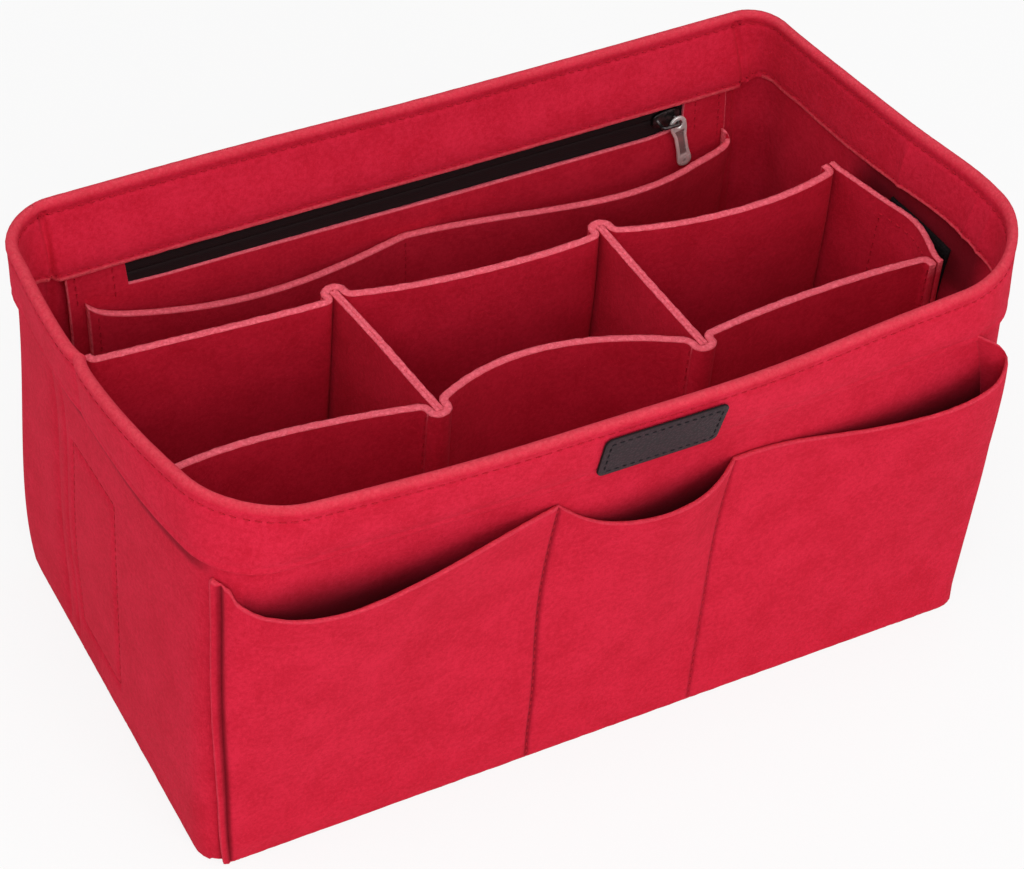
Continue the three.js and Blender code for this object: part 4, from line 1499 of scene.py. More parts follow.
    def side_grid(self, side: Side) -> Array:
        """Points of the band along one side.

        Args:
            side: the side.

        Returns:
            Places along the side by points of the profile.
        """
        z, depth, leg, _ = self.profile()
        u = side_places(side, self.walls.marks(side))[:, None]
        seam = 1.8 * self.form.seam_dip(side, u, z[None]) * (leg > 0.5) * ramp(1.0, 3.0, depth)
        pressed = -leg * self.press(z, leg)
        tight = self.pinched(side, u, z[None], depth[None], leg[None])
        lean = np.where(leg > 0.5, self.inner_lean(side, u, np.broadcast_to(z, (len(u), len(z)))), 0.0)
        high = self.lifted(side, u, z[None], leg[None])
        dip = self.walls.crease(side, u, high)
        return self.form.around(side, u, high, tight + pressed[None] + lean + dip - seam)

    def ring(self) -> Skin:
        """The band as its profile carried round the rim.

        Returns:
            The closed skin.
        """
        skin = swept_loop(np.concatenate([self.side_grid(side) for side in Side]))
        skin.cut_and_painted_light = np.concatenate([self.cut_and_highlight_share(side) for side in Side]).ravel()
        return skin

    def cut_and_highlight_share(self, side: Side) -> Array:
        """Share of cut edge and painted highlight along one side, which fades on the inner leg round the back
        left corner.

        Args:
            side: the side.

        Returns:
            The share at each point of the side's grid.
        """
        _, _, leg, cut_and_painted_light = self.profile()
        u = side_places(side, self.walls.marks(side))[:, None]
        # the pale edge is faded round the back left corner, where it lies in shade
        fades = {Side.BACK: (-0.93, -0.86), Side.LEFT: (-0.9, 0.2)}
        keep = ramp(*fades[side], u) if side in fades else np.ones(u.shape)
        return np.where(leg[None] > 0.5, cut_and_painted_light[None] * keep, cut_and_painted_light[None] + 0.0 * u)

    def stitches(self) -> Skin:
        """Stitches below the bead on both faces and above the inner lower edge.

        Returns:
            The stitches as one skin.
        """
        row = StitchRow()
        form = self.form
        bead = form.height - self.bead_drop
        rows = []
        for height, leg in ((bead, -1.0), (bead, 1.0), (form.band_inner_edge + self.edge_rise, 1.0)):
            paths, outs = [], []
            for side in Side:
                u = side_places(side)
                z = np.full(len(u), height)
                face = form.band_inner_depth if leg > 0 else form.band_outer_depth
                lean = self.inner_lean(side, u, z) if leg > 0 else 0.0
                legs = np.full(len(u), leg)
                depth = self.pinched(side, u, z, np.full(len(u), face), legs)
                depth = depth - leg * self.press(z, legs) + lean
                z = self.lifted(side, u, z, legs)
                depth = depth + self.walls.crease(side, u, z)
                path = form.around(side, u, z, depth)
                paths.append(path)
                outs.append(unit(form.around(side, u, z, depth + leg) - path))
            rows.append(row.along(np.concatenate(paths), np.concatenate(outs)))
        return all_joined(rows)

    def build(self) -> None:
        """Makes the band and its stitches."""
        nodes = [f"rim_band_{name}" for name in ("front", "right", "back", "left")]
        ring = edge_wobble(self.ring(), 0.1, 5)
        piece("felt_rim_band", ring, Body.SHELL, self.finishes.band, nodes)
        piece("rim_band_stitches", self.stitches(), Body.SHELL, self.finishes.thread)


@dataclass(frozen=True)
class Pocket:
    """One pocket mouth: how far it dips and stands out, how each is skewed, and the dip's power."""

    scoop: float
    scoop_skew: float
    fullness: float
    bulge: float
    bulge_skew: float


def swell(share: Array, skew: float) -> Array:
    """Half sine over a share from 0 to 1, skewed by a power."""
    return np.maximum(0.0, np.sin(np.pi * np.clip(share, 0.0, 1.0) ** skew))


@dataclass(frozen=True)
class FrontPockets:
    """One felt panel on the front wall, sewn down in three pockets with scooped mouths."""

    form: ShellForm
    finishes: Finishes
    drops: tuple[float, float, float, float] = (5.2, 8.4, 14.9, 10.9)
    seams: Pair = (-31.0, 34.0)
    seam_lean: float = -4.15
    corner_wraps: Triple = (3.4, -3.3, -6.3)
    corner_start: float = 0.8
    bulge_rise: float = 1.6
    pockets: tuple[Pocket, Pocket, Pocket] = (
        Pocket(13.9, 0.5, 2.43, 9.0, 0.9),
        Pocket(12.3, 0.7, 1.57, 9.0, 1.76),
        Pocket(7.75, 1.01, 2.16, 11.8, 2.9),
    )
    left_inset: float = 0.8
    end_hold: float = 0.68
    foot_tucks: Pair = (1.5, -0.5)
    line_depths: Triple = (1.5, 0.95, 0.4)
    # painted shade along each sewn line
    line_painted_shades: Triple = (0.7, 0.62, 0.42)
    strip_stand: float = 0.8
    strip_width: float = 2.2
    right_rise: float = 13.15
    right_tuck: float = 19.2
    right_side: float = 14.0
    end_bury: float = 2.4
    foot_gap: float = 1.6
    side_start: float = 0.7
    side_skew: float = 2.115

    @property
    def girth(self) -> float:
        """Half of the front's length round to the corner's middle, at the base."""
        return self.form.half_girth(Side.FRONT)

    @property
    def end(self) -> float:
        """Place of the panel's right end."""
        return self.girth - self.form.seam_gap / 2.0

    @property
    def left(self) -> float:
        """Place of the panel's left end."""
        return self.left_inset - self.end

    @property
    def lines(self) -> Triple:
        """Places of the sewn lines: beside the strip at the left end, and the two seams."""
        return self.left + self.strip_width + 0.2, *self.seams

    def face(self, place: Array, level: Array, inner: bool, press: Number = 0.0) -> Array:
        """Points of the panel by place along the base and share of the height.

        The mouth's height falls by a power of a skewed half sine, and the panel stands out by another that
        grows with a power of the share.

        Args:
            place: millimetres along the base.
            level: share of the panel's own height.
            inner: whether the inner face is wanted.
            press: depth to which stitches press the face in.

        Returns:
            The points.
        """
        form = self.form
        tops = form.band_outer_edge - np.array(self.drops)
        limits = [self.left, *self.seams, self.end]
        which = np.clip(np.searchsorted(np.array(self.seams), place), 0, 2)
        start, stop = np.take(limits, which), np.take(limits, which + 1)
        share = (place - start) / (stop - start)
        dip = np.zeros(np.shape(place))
        out = np.zeros(np.shape(place))
        for k, pocket in enumerate(self.pockets):
            chosen = which == k
            dip = np.where(chosen, pocket.scoop * swell(share, pocket.scoop_skew) ** pocket.fullness, dip)
            out = np.where(chosen, pocket.bulge * swell(share, pocket.bulge_skew), out)
        last = np.clip((share - self.side_start) / (1.0 - self.side_start), 0.0, 1.0)
        tail = np.where(which == 2, last, 0.0)
        dip = dip * (1.0 - self.end_hold * (1.0 - ramp(4.2, 6.6, place - self.left)))
        dip = dip - self.right_rise * ramp(0.5, 1.0, tail)
        z = level * (blend(np.take(tops, which), np.take(tops, which + 1), share) - dip)
        strip = 1.0 - ramp(self.strip_width - 0.5, self.strip_width + 0.1, place - self.left)
        along = (place - self.left) / (self.end - self.left)
        tuck = blend(*self.foot_tucks, along) * (1.0 - ramp(0.0, 9.0, z))
        from_end = np.minimum(place - self.left, self.end - place)
        sunk = form.seam_gap * (0.3 + 0.7 * ramp(0.0, 5.0, from_end))
        depth = self.end_bury * ramp(0.94, 1.0, tail) - sunk - out * level**self.bulge_rise
        if inner:
            depth = depth + 0.4 * tuck + self.foot_gap * (1.0 - ramp(0.0, 6.0, z))
        else:
            depth = depth - form.felt - self.strip_stand * strip + press + tuck
        flat_end = self.corner_start * self.girth
        past = np.maximum(0.0, -place - flat_end) / (self.end - flat_end)
        foot, slope, curve = self.corner_wraps
        wrap = past * (foot + slope * level + curve * level**2)
        wrap = wrap - self.right_tuck * ramp(0.0, 1.0, tail) * level**3
        lean = self.seam_lean * bump(place, self.seams[0], 35.0) * level
        points = form.around(Side.FRONT, (place + wrap + lean) / self.girth, z, depth)
        points[..., 0] += self.right_side * swell(tail, self.side_skew) * level**1.1
        return points

    def seam_press(self, place: Array, level: Array) -> Array:
        """How far the upright rows of stitches press the panel in, most of all at the left end."""
        pressed = sum(depth * bump(place, line, 0.8) for depth, line in zip(self.line_depths, self.lines))
        return pressed * ramp(0.0, 0.08, level)

    def panel(self) -> Skin:
        """The panel as a closed sheet.

        Returns:
            The closed skin.
        """
        near = np.array([-1.8, -1.1, -0.55, 0.0, 0.55, 1.1, 1.8])
        lines = [line + near for line in self.lines]
        even = np.linspace(self.left, self.end, 118)
        curl = blend(self.seams[1], self.end, self.side_start)
        lines.append(np.linspace(curl, self.end - 0.5, 24))
        lines.append(self.left + np.linspace(3.6, 8.0, 12))
        ends = np.array([self.left + 0.5, self.end - 0.5])
        place = np.unique(np.concatenate([even, ends, *lines]))[:, None]
        level = stops((0.0, 0), (0.006, 1), (0.97, 40), (0.995, 3), (1.0, 1))[None]
        place, level = np.broadcast_arrays(place, level)
        outer = self.face(place, level, False, self.seam_press(place, level))
        skin = closed_sheet(outer, self.face(place, level, True), 0.35)
        # painted shade: darker lines along the sewn grooves on the outer face, and darkness inside the pocket
        # on the inner face below the mouth
        grooves = sum(shade * bump(place, line, 0.9) for shade, line in zip(self.line_painted_shades, self.lines))
        return skin.with_painted_shade(np.minimum(0.8, grooves), 0.85 * (1.0 - ramp(0.9, 1.03, level)))

    def stitches(self) -> Skin:
        """Rows of stitches down the two pocket seams.

        Returns:
            The stitches as one skin.
        """
        row = StitchRow()
        rows = []
        for line in self.seams:
            level = np.linspace(0.995, 0.01, 90)
            place = np.full(len(level), line)
            press = self.seam_press(place, level)
            rows.append(row.on(lambda lift: self.face(place, level, False, press - lift)))
        return all_joined(rows)

    def build(self) -> None:
        """Makes the panel and its stitches."""
        skin = edge_wobble(self.panel(), 0.1, 7)
        piece("felt_front_pockets", skin, Body.SHELL, self.finishes.outer, ["front_pocket_panel"])
        piece("front_pocket_stitches", self.stitches(), Body.SHELL, self.finishes.thread)


@dataclass(frozen=True)
class Label:
    """Plain leather patch with a stitched border on the front of the band."""

    form: ShellForm
    finishes: Finishes
    length: float = 43.5
    width: float = 17.0
    leather: float = 1.2
    centre_x: float = -2.3
    drop: float = 6.5
    corner: float = 2.4
    dome: float = 0.35
    stitch_inset: float = 2.0
    glue: float = 0.1

    def reach(self, x: Array, inset: float = 0.0) -> Array:
        """Half the label's width at a distance from its middle, rounded at the corners.

        Args:
            x: distance from the middle.
            inset: distance inside the border.

        Returns:
            The half widths.
        """
        corner = self.corner - inset * 0.6
        past = np.maximum(0.0, np.abs(x) - (self.length / 2.0 - inset) + corner)
        return self.width / 2.0 - inset - corner + np.sqrt(np.maximum(0.0, corner**2 - past**2))

    def at(self, x: Array, z: Array, depth: Number) -> Array:
        """Points of the label by distance from its middle and depth in front of the band.

        Args:
            x: distance to the right.
            z: distance up.
            depth: distance in front of the band.

        Returns:
            The points.
        """
        middle = self.form.height - self.drop - self.width / 2.0
        face = self.form.band_outer_depth - self.glue - depth
        return self.form.flat(Side.FRONT, self.centre_x + x, middle + z, face)

    def patch(self) -> Skin:
        """The leather as a closed sheet whose face falls off towards its border.

        Returns:
            The closed skin.
        """
        turns = self.length / 2.0 - self.corner * (1.0 - np.sin(np.linspace(0.0, np.pi / 2.0, 9)))
        x = np.unique(np.concatenate([np.linspace(-turns[0], turns[0], 30), turns, -turns]))[:, None]
        level = np.sin(np.linspace(-np.pi / 2.0, np.pi / 2.0, 21))[None]
        z = level * self.reach(x)
        border = np.minimum(self.reach(x) - np.abs(z), self.length / 2.0 - np.abs(x))
        rise = self.leather - self.dome * np.exp(-border / 0.8) - 0.18 * bump(border, self.stitch_inset, 0.5)
        x, z = np.broadcast_arrays(x, z)
        return closed_sheet(self.at(x, z, rise), self.at(x, z, np.zeros_like(z)), 0.15)

    def border_stitches(self) -> Skin:
        """A row of stitches a little inside the label's border.

        Returns:
            The stitches as one skin.
        """
        row = StitchRow(pitch=2.9, length=2.2, radius=0.26, lift=0.06, dive=0.3)
        half = self.length / 2.0 - self.stitch_inset
        x = half * np.sin(np.linspace(-np.pi / 2.0, np.pi / 2.0, 120))
        z = self.reach(x, self.stitch_inset)
        loop = np.concatenate([np.stack([x, z], -1), np.stack([x, -z], -1)[::-1], [[x[0], z[0]]]])
        level = np.full(len(loop), self.leather - 0.12)
        return row.on(lambda lift: self.at(loop[:, 0], loop[:, 1], level + lift))

    def build(self) -> None:
        """Makes the label and its stitches."""
        piece("leather_label", self.patch(), Body.SHELL, self.finishes.leather, ["label_patch"])
        piece("label_stitches", self.border_stitches(), Body.SHELL, self.finishes.dark_thread)


@dataclass(frozen=True)
class BackLining:
    """The back wall's lining: a zipped pocket with its tape and coil, and two slip pockets below."""

    form: ShellForm
    finishes: Finishes
    left_margin: float = 20.0
    right_margin: float = 22.5
    zip_margins: Pair = (21.5, 18.0)
    zip_z: float = 127.5
    slider_width: float = 8.0
    lip_clearance: float = 0.35
    lip_sags: Pair = (0.8, 3.2)
    notch: float = 0.4
    lining_depth: float = 4.6
    coil_depth: float = 3.6
    chain_draw: float = 1.15
    coil_width: float = 1.7
    coil_pitch: float = 1.25
    chain_gap: float = 1.6
    tape_depth: float = 3.8
    tape_thickness: float = 0.5
    tape_gap: float = 0.2
    tape_swell: float = 0.2
    tape_reach: Pair = (9.3, 15.8)
    slip_felt: float = 3.0
    slip_insets: Pair = (5.5, 1.5)
    slip_drops: Triple = (17.4, 23.8, 25.0)
    slip_seam: float = -6.0
    slip_bulges: Pair = (8.1, 15.2)
    slip_skews: Pair = (0.93, 1.54)
    slip_sags: Pair = (2.9, -4.3)
    slip_corner_rises: Pair = (4.0, 6.6)
    slip_corner_runs: Pair = (3.5, 4.7)
    slip_side: float = 5.7
    bulge_rise: float = 1.6

    @property
    def left(self) -> float:
        """X of the lining's left edge, before the rim's rack."""
        return -self.form.base_length / 2.0 + self.left_margin

    @property
    def right(self) -> float:
        """X of the lining's right edge, before the rim's rack."""
        return self.form.base_length / 2.0 - self.right_margin

    @property
    def slip_ends(self) -> Pair:
        """X of the slip pockets' ends."""
        return self.left + self.slip_insets[0], self.right - self.slip_insets[1]

    @property
    def slot(self) -> Pair:
        """X of the zip slot's ends."""
        return self.left + self.zip_margins[0], self.right - self.zip_margins[1]

    @property
    def tape_ends(self) -> Pair:
        """X of the ends of the tapes and of the coil."""
        return self.slot[0] - self.zip_margins[0] / 2.0, self.slot[1] + self.zip_margins[1] / 2.0

    @property
    def coil_middle(self) -> float:
        """Distance of each side of the chain from its middle."""
        return (self.chain_gap + self.coil_width) / 2.0

    def lip(self, x: Array) -> Array:
        """Distance of the slot's lower lip below the chain, which grows to the right, with rounded ends.

        Args:
            x: X along the wall.

        Returns:
            The distances.
        """
        start, stop = self.slot
        share = np.clip((x - start) / (stop - start), 0.0, 1.0)
        round_off = np.minimum(1.0, 2.2 * np.sqrt(np.sin(np.pi * share)))
        return self.slider_width / 2.0 + self.lip_clearance + blend(*self.lip_sags, share) * round_off

    def zip_panel(self) -> Skin:
        """The panel with the slot's notch in its top.

        Returns:
            The closed skin.
        """
        form = self.form
        start, stop = self.slot
        x = np.concatenate([
            stops((self.left, 0), (self.left + 0.5, 1), (start - self.notch, 10)),
            start + (stop - start) * (0.5 - 0.5 * np.cos(np.linspace(0.0, np.pi, 90))),
            stops((stop + self.notch, 0), (self.right - 0.5, 9), (self.right, 1)),
        ])[:, None]
        level = stops((0.0, 0), (0.97, 30), (0.996, 2), (1.0, 1))[None]
        top = np.where((x < start) | (x > stop), form.band_inner_edge + 1.5, self.zip_z - self.lip(x))
        z = blend(form.floor_top, top, level)
        faces = [form.flat(Side.BACK, x, z, self.lining_depth + depth) for depth in (0.0, form.felt)]
        return closed_sheet(faces[1], faces[0], 0.25)

    def drawn(self, x: Array) -> Array:
        """Depth added to the tapes and the coil where the wall swells, so that the slider runs straight."""
        return self.chain_draw * ramp(40.0, -100.0, x)

    def strip(self, low: float, high: float, depth: float) -> Skin:
        """A strip of tape between two heights, pushed out a little over the coil behind it.

        Args:
            low: height of its lower edge.
            high: height of its upper edge.
            depth: depth of its back.

        Returns:
            The closed skin.
        """
        x = np.linspace(*self.tape_ends, 90)[:, None]
        z = np.linspace(low, high, 17)[None]
        over_coil = bump(np.abs(z - self.zip_z), self.coil_middle, 1.0)
        depth = depth + self.drawn(x) + self.tape_swell * over_coil
        faces = [self.form.flat(Side.BACK, x, z, depth + k) for k in (0.0, self.tape_thickness)]
        return closed_sheet(faces[1], faces[0], 0.1, steps=1)

    def coil(self, sign: float) -> Skin:
        """One side of the chain: a row of nylon turns, each a short rounded thread square to the zip.

        Args:
            sign: 1 for the upper side and -1 for the lower one.

        Returns:
            The turns as one skin.
        """
        start, stop = self.tape_ends
        wide = self.coil_width
        x = start + (np.arange(int((stop - start) / self.coil_pitch))[:, None] + 0.5) * self.coil_pitch
        turn = StitchRow(pitch=wide, length=wide, radius=0.52, lift=0.0, dive=0.35, slant=0.25)
        z = self.zip_z + sign * self.coil_middle + np.linspace(-0.5, 0.5, 5) * wide
        depth = self.coil_depth + self.drawn(x)
        grid = self.form.flat(Side.BACK, x, z[None], depth)
        up = unit(self.form.flat(Side.BACK, x, z[None], depth + 1.0) - grid)
        return all_joined([turn.along(line, out) for line, out in zip(grid, up)])

    def slip_face(self, x: Array, level: Array, depth: float) -> Array:
        """Points of the slip pockets' panel.

        Each mouth sags and stands out by a skewed half sine, and stands out by a power of the height.

        Args:
            x: X along the wall.
            level: share of the panel's height.
            depth: distance behind the panel's back face.

        Returns:
            The points.
        """
        form = self.form
        edge = form.band_inner_edge
        limits = [self.slip_ends[0], self.slip_seam, self.slip_ends[1]]
        tops = [edge - drop for drop in self.slip_drops]
        which = np.clip(np.searchsorted(np.array([self.slip_seam]), x), 0, 1)
        start, stop = np.take(limits, which), np.take(limits, which + 1)
        share = (x - start) / (stop - start)
        out = np.where(which == 0, swell(share, self.slip_skews[0]), swell(share, self.slip_skews[1]))
        top = blend(np.take(tops, which), np.take(tops, which + 1), share)
        top = top - np.take(self.slip_sags, which) * out
        (left_rise, right_rise), (left_run, right_run) = self.slip_corner_rises, self.slip_corner_runs
        top = top + left_rise * np.exp((limits[0] - x) / left_run)
        top = top + right_rise * np.exp(-np.maximum(0.0, limits[2] - 1.2 - x) / right_run)
        curl = np.where(which == 1, swell((share - 0.86) / 0.14, 1.6), 0.0)
        x = x + self.slip_side * curl * level**self.bulge_rise
        stand = np.take(self.slip_bulges, which) * out * level**self.bulge_rise
        start_depth = self.lining_depth + form.felt + form.seam_gap
        return form.flat(Side.BACK, x, blend(form.floor_top, top, level), start_depth + stand + depth)

    def slip_panel(self) -> Skin:
        """The slip pockets' panel as a closed sheet.

        Returns:
            The closed skin.
        """
        near = np.array(NEAR_LINE)
        left, right = self.slip_ends
        x = np.unique(np.concatenate([np.linspace(left, right, 104), self.slip_seam + near, left + 2.1 + near,
                                      np.linspace(right - 18.0, right - 0.5, 24)]))[:, None]
        level = stops((0.0, 0), (0.97, 30), (0.995, 2), (1.0, 1))[None]
        x, level = np.broadcast_arrays(x, level)
        return closed_sheet(self.slip_face(x, level, self.slip_felt), self.slip_face(x, level, 0.0), 0.4)

    def stitches(self) -> Skin:
        """Stitches beside the slot, down the slip pockets' seam and down both ends of the lining.

        Returns:
            The stitches as one skin.
        """
        row = StitchRow(pitch=3.4, length=2.6)
        form = self.form
        start, stop = self.slot
        rows = []
        depth = self.lining_depth + form.felt
        beside_slot = ((start - 5.0, 118.0), (stop + 5.0, 118.0))
        ends = (*beside_slot, (self.left + 3.0, 119.0), (self.right - 3.0, 112.0))
        for x, low in ends:
            z = np.linspace(low, form.band_inner_edge - 1.0, 20)
            rows.append(row.on(lambda lift: form.flat(Side.BACK, x, z, depth + lift)))
        for x in (self.slip_ends[0] + 3.0, self.slip_seam):
            level = np.linspace(0.985, 0.02, 80)
            place = np.full(len(level), x)
            rows.append(row.on(lambda lift: self.slip_face(place, level, self.slip_felt + lift)))
        return all_joined(rows)

    def build(self) -> None:
        """Makes the lining, the zip and the slip pockets."""
        done = self.finishes
        panel = edge_wobble(self.zip_panel(), 0.08, 9)
        piece("felt_zip_panel", panel, Body.SHELL, done.lining, ["zip_pocket_panel"])
        slip = edge_wobble(self.slip_panel(), 0.1, 13)
        piece("felt_slip_pockets", slip, Body.SHELL, done.lining, ["slip_pocket_panel"])
        upper = self.strip(self.zip_z + self.tape_gap, self.zip_z + self.tape_reach[0], self.tape_depth)
        lower = self.strip(self.zip_z - self.tape_reach[1], self.zip_z - self.tape_gap, self.tape_depth)
        piece("tape_upper", upper, Body.SHELL, done.tape, ["zip_tape_upper"])
        piece("tape_lower", lower, Body.SHELL, done.tape, ["zip_tape_lower"])
        piece("coil_upper", self.coil(1.0), Body.SHELL, done.coil, ["zip_coil_upper"])
        piece("coil_lower", self.coil(-1.0), Body.SHELL, done.coil, ["zip_coil_lower"])
        piece("lining_stitches", self.stitches(), Body.SHELL, done.thread)


@dataclass(frozen=True)
class ZipHead:
    """The zip's slider with its bail, and the pull that swings on the bail's right leg."""

    finishes: Finishes
    centre: Triple = (99.01, 73.385, 127.5)
    length: float = 11.0
    width: float = 8.0
    tail_width: float = 6.0
    front_plate: float = 1.6
    back_plate: float = 0.6
    back_depth: float = 3.5
    bail_span: float = 7.0
    bail_rod: float = 1.4
    bail_reach: float = 4.4
    pull_thickness: float = 1.3
    pull_length: float = 22.0
    pull_width: float = 6.5
    pull_hang: float = 1.0
    pull_waist: float = 4.8
    pull_tip: float = 5.6
    pull_shoulder: float = 4.2
    eye: float = 1.75
    pull_standoff: float = 2.0
    lean: float = math.radians(14.0)

    def plate_outline(self) -> Array:
        """Outline of the slider's plates: a rounded nose and a narrower tail.

        Returns:
            Points in X and Z, once round.
        """
        turn = np.linspace(0.0, 2.0 * np.pi, 48, endpoint=False)
        power = 0.5
        x = np.sign(np.cos(turn)) * np.abs(np.cos(turn)) ** power * self.length / 2.0
        half = blend(self.tail_width, self.width, ramp(-self.length / 2.0, 1.0, x)) / 2.0
        z = np.sign(np.sin(turn)) * np.abs(np.sin(turn)) ** power * half
        return np.stack([x, z], axis=-1)

    def plate(self, near: float, far: float, dome: float) -> Skin:
        """A plate between two depths, its near face domed by a power of the distance from its middle.

        Args:
            near: depth of its near face.
            far: depth of its far face.
            dome: height of the near face's dome.

        Returns:
            The closed skin.
        """
        outline = self.plate_outline()[:, None]
        share = stops((0.02, 0), (0.6, 5), (0.9, 4), (1.0, 3))[None, :, None]
        flat = outline * share
        rise = dome * (1.0 - share[..., 0] ** 4)
        origin = np.array(self.centre)
        grids = []
        for depth in (near - rise, np.full_like(rise, far)):
            depth = np.broadcast_to(depth, flat.shape[:2])
            grids.append(origin + np.stack([flat[..., 0], depth, flat[..., 1]], axis=-1))
        return closed_sheet(grids[0], grids[1], 0.12, wrap=True)

    def bail(self) -> Skin:
        """The bail: a rod bent like a staple, from one leg over to the other.

        Returns:
            The closed skin.
        """
        half, reach, bend = self.bail_span / 2.0, self.bail_reach, 1.1
        turn = np.linspace(0.0, np.pi / 2.0, 7)
        right = np.stack([half - bend + bend * np.cos(turn), -reach + bend - bend * np.sin(turn)], axis=-1)
        left = right[::-1] * np.array([-1.0, 1.0])
        path = np.concatenate([[[half, 0.7]], right, left, [[-half, 0.7]]])
        points = np.stack([path[:, 0], path[:, 1], np.zeros(len(path))], axis=-1) + np.array(self.centre)
        return tube(points, self.bail_rod / 2.0, 14)

    def slider(self) -> Skin:
        """The slider's two plates and its post.

        Returns:
            The three as one skin.
        """
        front = self.plate(0.15, self.front_plate, 0.15)
        back = self.plate(self.back_depth, self.back_depth + self.back_plate, 0.0)
        post = np.array([[3.1, 1.2, 0.0], [3.1, 3.8, 0.0]]) + np.array(self.centre)
        return all_joined([front, back, tube(post, 0.5, 8)])

    def pull_half_width(self, drop: Array) -> Array:
        """Half the pull's width by distance below the eye's middle: round head, waist and round tip.

        Args:
            drop: distance below the eye's middle.

        Returns:
            Half widths, 0 at both ends.
        """
        head, tip, waist = self.pull_width / 2.0, self.pull_tip / 2.0, self.pull_waist / 2.0
        end = self.pull_length
        tip_at = end - tip
        shoulder = ramp(self.pull_shoulder * 0.5, self.pull_shoulder + head, drop)
        neck = blend(head, waist, shoulder)
        foot = blend(neck, tip, ramp(tip_at - 2.2 * tip, tip_at, drop))
        top = np.sqrt(np.clip(head**2 - np.minimum(drop, 0.0) ** 2, 0.0, None))
        low = np.sqrt(np.clip(tip**2 - np.maximum(drop - tip_at, 0.0) ** 2, 0.0, None))
        return np.where(drop < 0.0, top, np.where(drop > tip_at, low, foot))

    def pull(self) -> Skin:
        """The pull: a flat tab between its eye and its outline, with a raised rim round a sunk middle.

        Returns:
            The closed skin.
        """
        head, end = self.pull_width / 2.0, self.pull_length
        turn = np.linspace(0.0, np.pi, 110)
        drop = -head + (end + head) * (0.5 - 0.5 * np.cos(turn))
        half = self.pull_half_width(drop)
        right = np.stack([half, -drop], axis=-1)
        outline = np.concatenate([right, right[-2:0:-1] * np.array([-1.0, 1.0])])
        angle = np.arctan2(outline[:, 0], outline[:, 1])
        hole = self.eye * np.stack([np.sin(angle), np.cos(angle)], axis=-1)
        share = stops((0.0, 0), (0.08, 2), (0.9, 26), (1.0, 5))[None, :, None]
        flat = blend(hole[:, None], outline[:, None], share)
        apart = np.linalg.norm(flat[:, :, None] - outline[None, None], axis=-1).min(axis=-1)
        from_eye = np.linalg.norm(flat, axis=-1) - self.eye
        below = -flat[..., 1]
        sunk = ramp(1.0, 1.35, apart) * ramp(1.0, 1.5, from_eye) * ramp(3.0, 4.0, below)
        sunk = sunk * (1.0 - ramp(end - 6.6, end - 5.8, below))
        dimple = bump(np.hypot(flat[..., 0], below - end + self.pull_tip / 2.0), 0.0, 0.8)
        sunk = np.maximum(sunk, 0.6 * dimple)
        rim = np.minimum(np.minimum(apart, from_eye), 0.8) / 0.8
        thick = self.pull_thickness / 2.0 * (0.62 + 0.38 * np.sqrt(np.clip(rim, 0.0, 1.0))) - 0.42 * sunk
        cosine, sine = math.cos(self.lean), math.sin(self.lean)
        x = flat[..., 0] * cosine - flat[..., 1] * sine
        z = flat[..., 0] * sine + flat[..., 1] * cosine
        front = -self.pull_standoff - self.pull_thickness / 2.0
        pivot = np.array(self.centre) + np.array([self.bail_span / 2.0, front, -self.pull_hang])
        faces = [pivot + np.stack([x, sign * thick, z], axis=-1) for sign in (-1.0, 1.0)]
        skin = closed_sheet(faces[0], faces[1], 0.1, wrap=True)
        # painted shade: the sunk middle and the dimple get a share that the nickel finish darkens
        skin.cut_and_painted_light = np.zeros(len(skin.points))
        skin.cut_and_painted_light[:2 * sunk.size] = np.tile(sunk.ravel(), 2)
        return skin

    def build(self) -> None:
        """Makes the slider, its bail and the pull."""
        piece("slider_bail", self.bail(), Body.SLIDER, self.finishes.slider)
        piece("slider_body", self.slider(), Body.SLIDER, self.finishes.slider, ["zip_slider"])
        piece("pull_tab", self.pull(), Body.PULL, self.finishes.pull, ["zip_pull"])


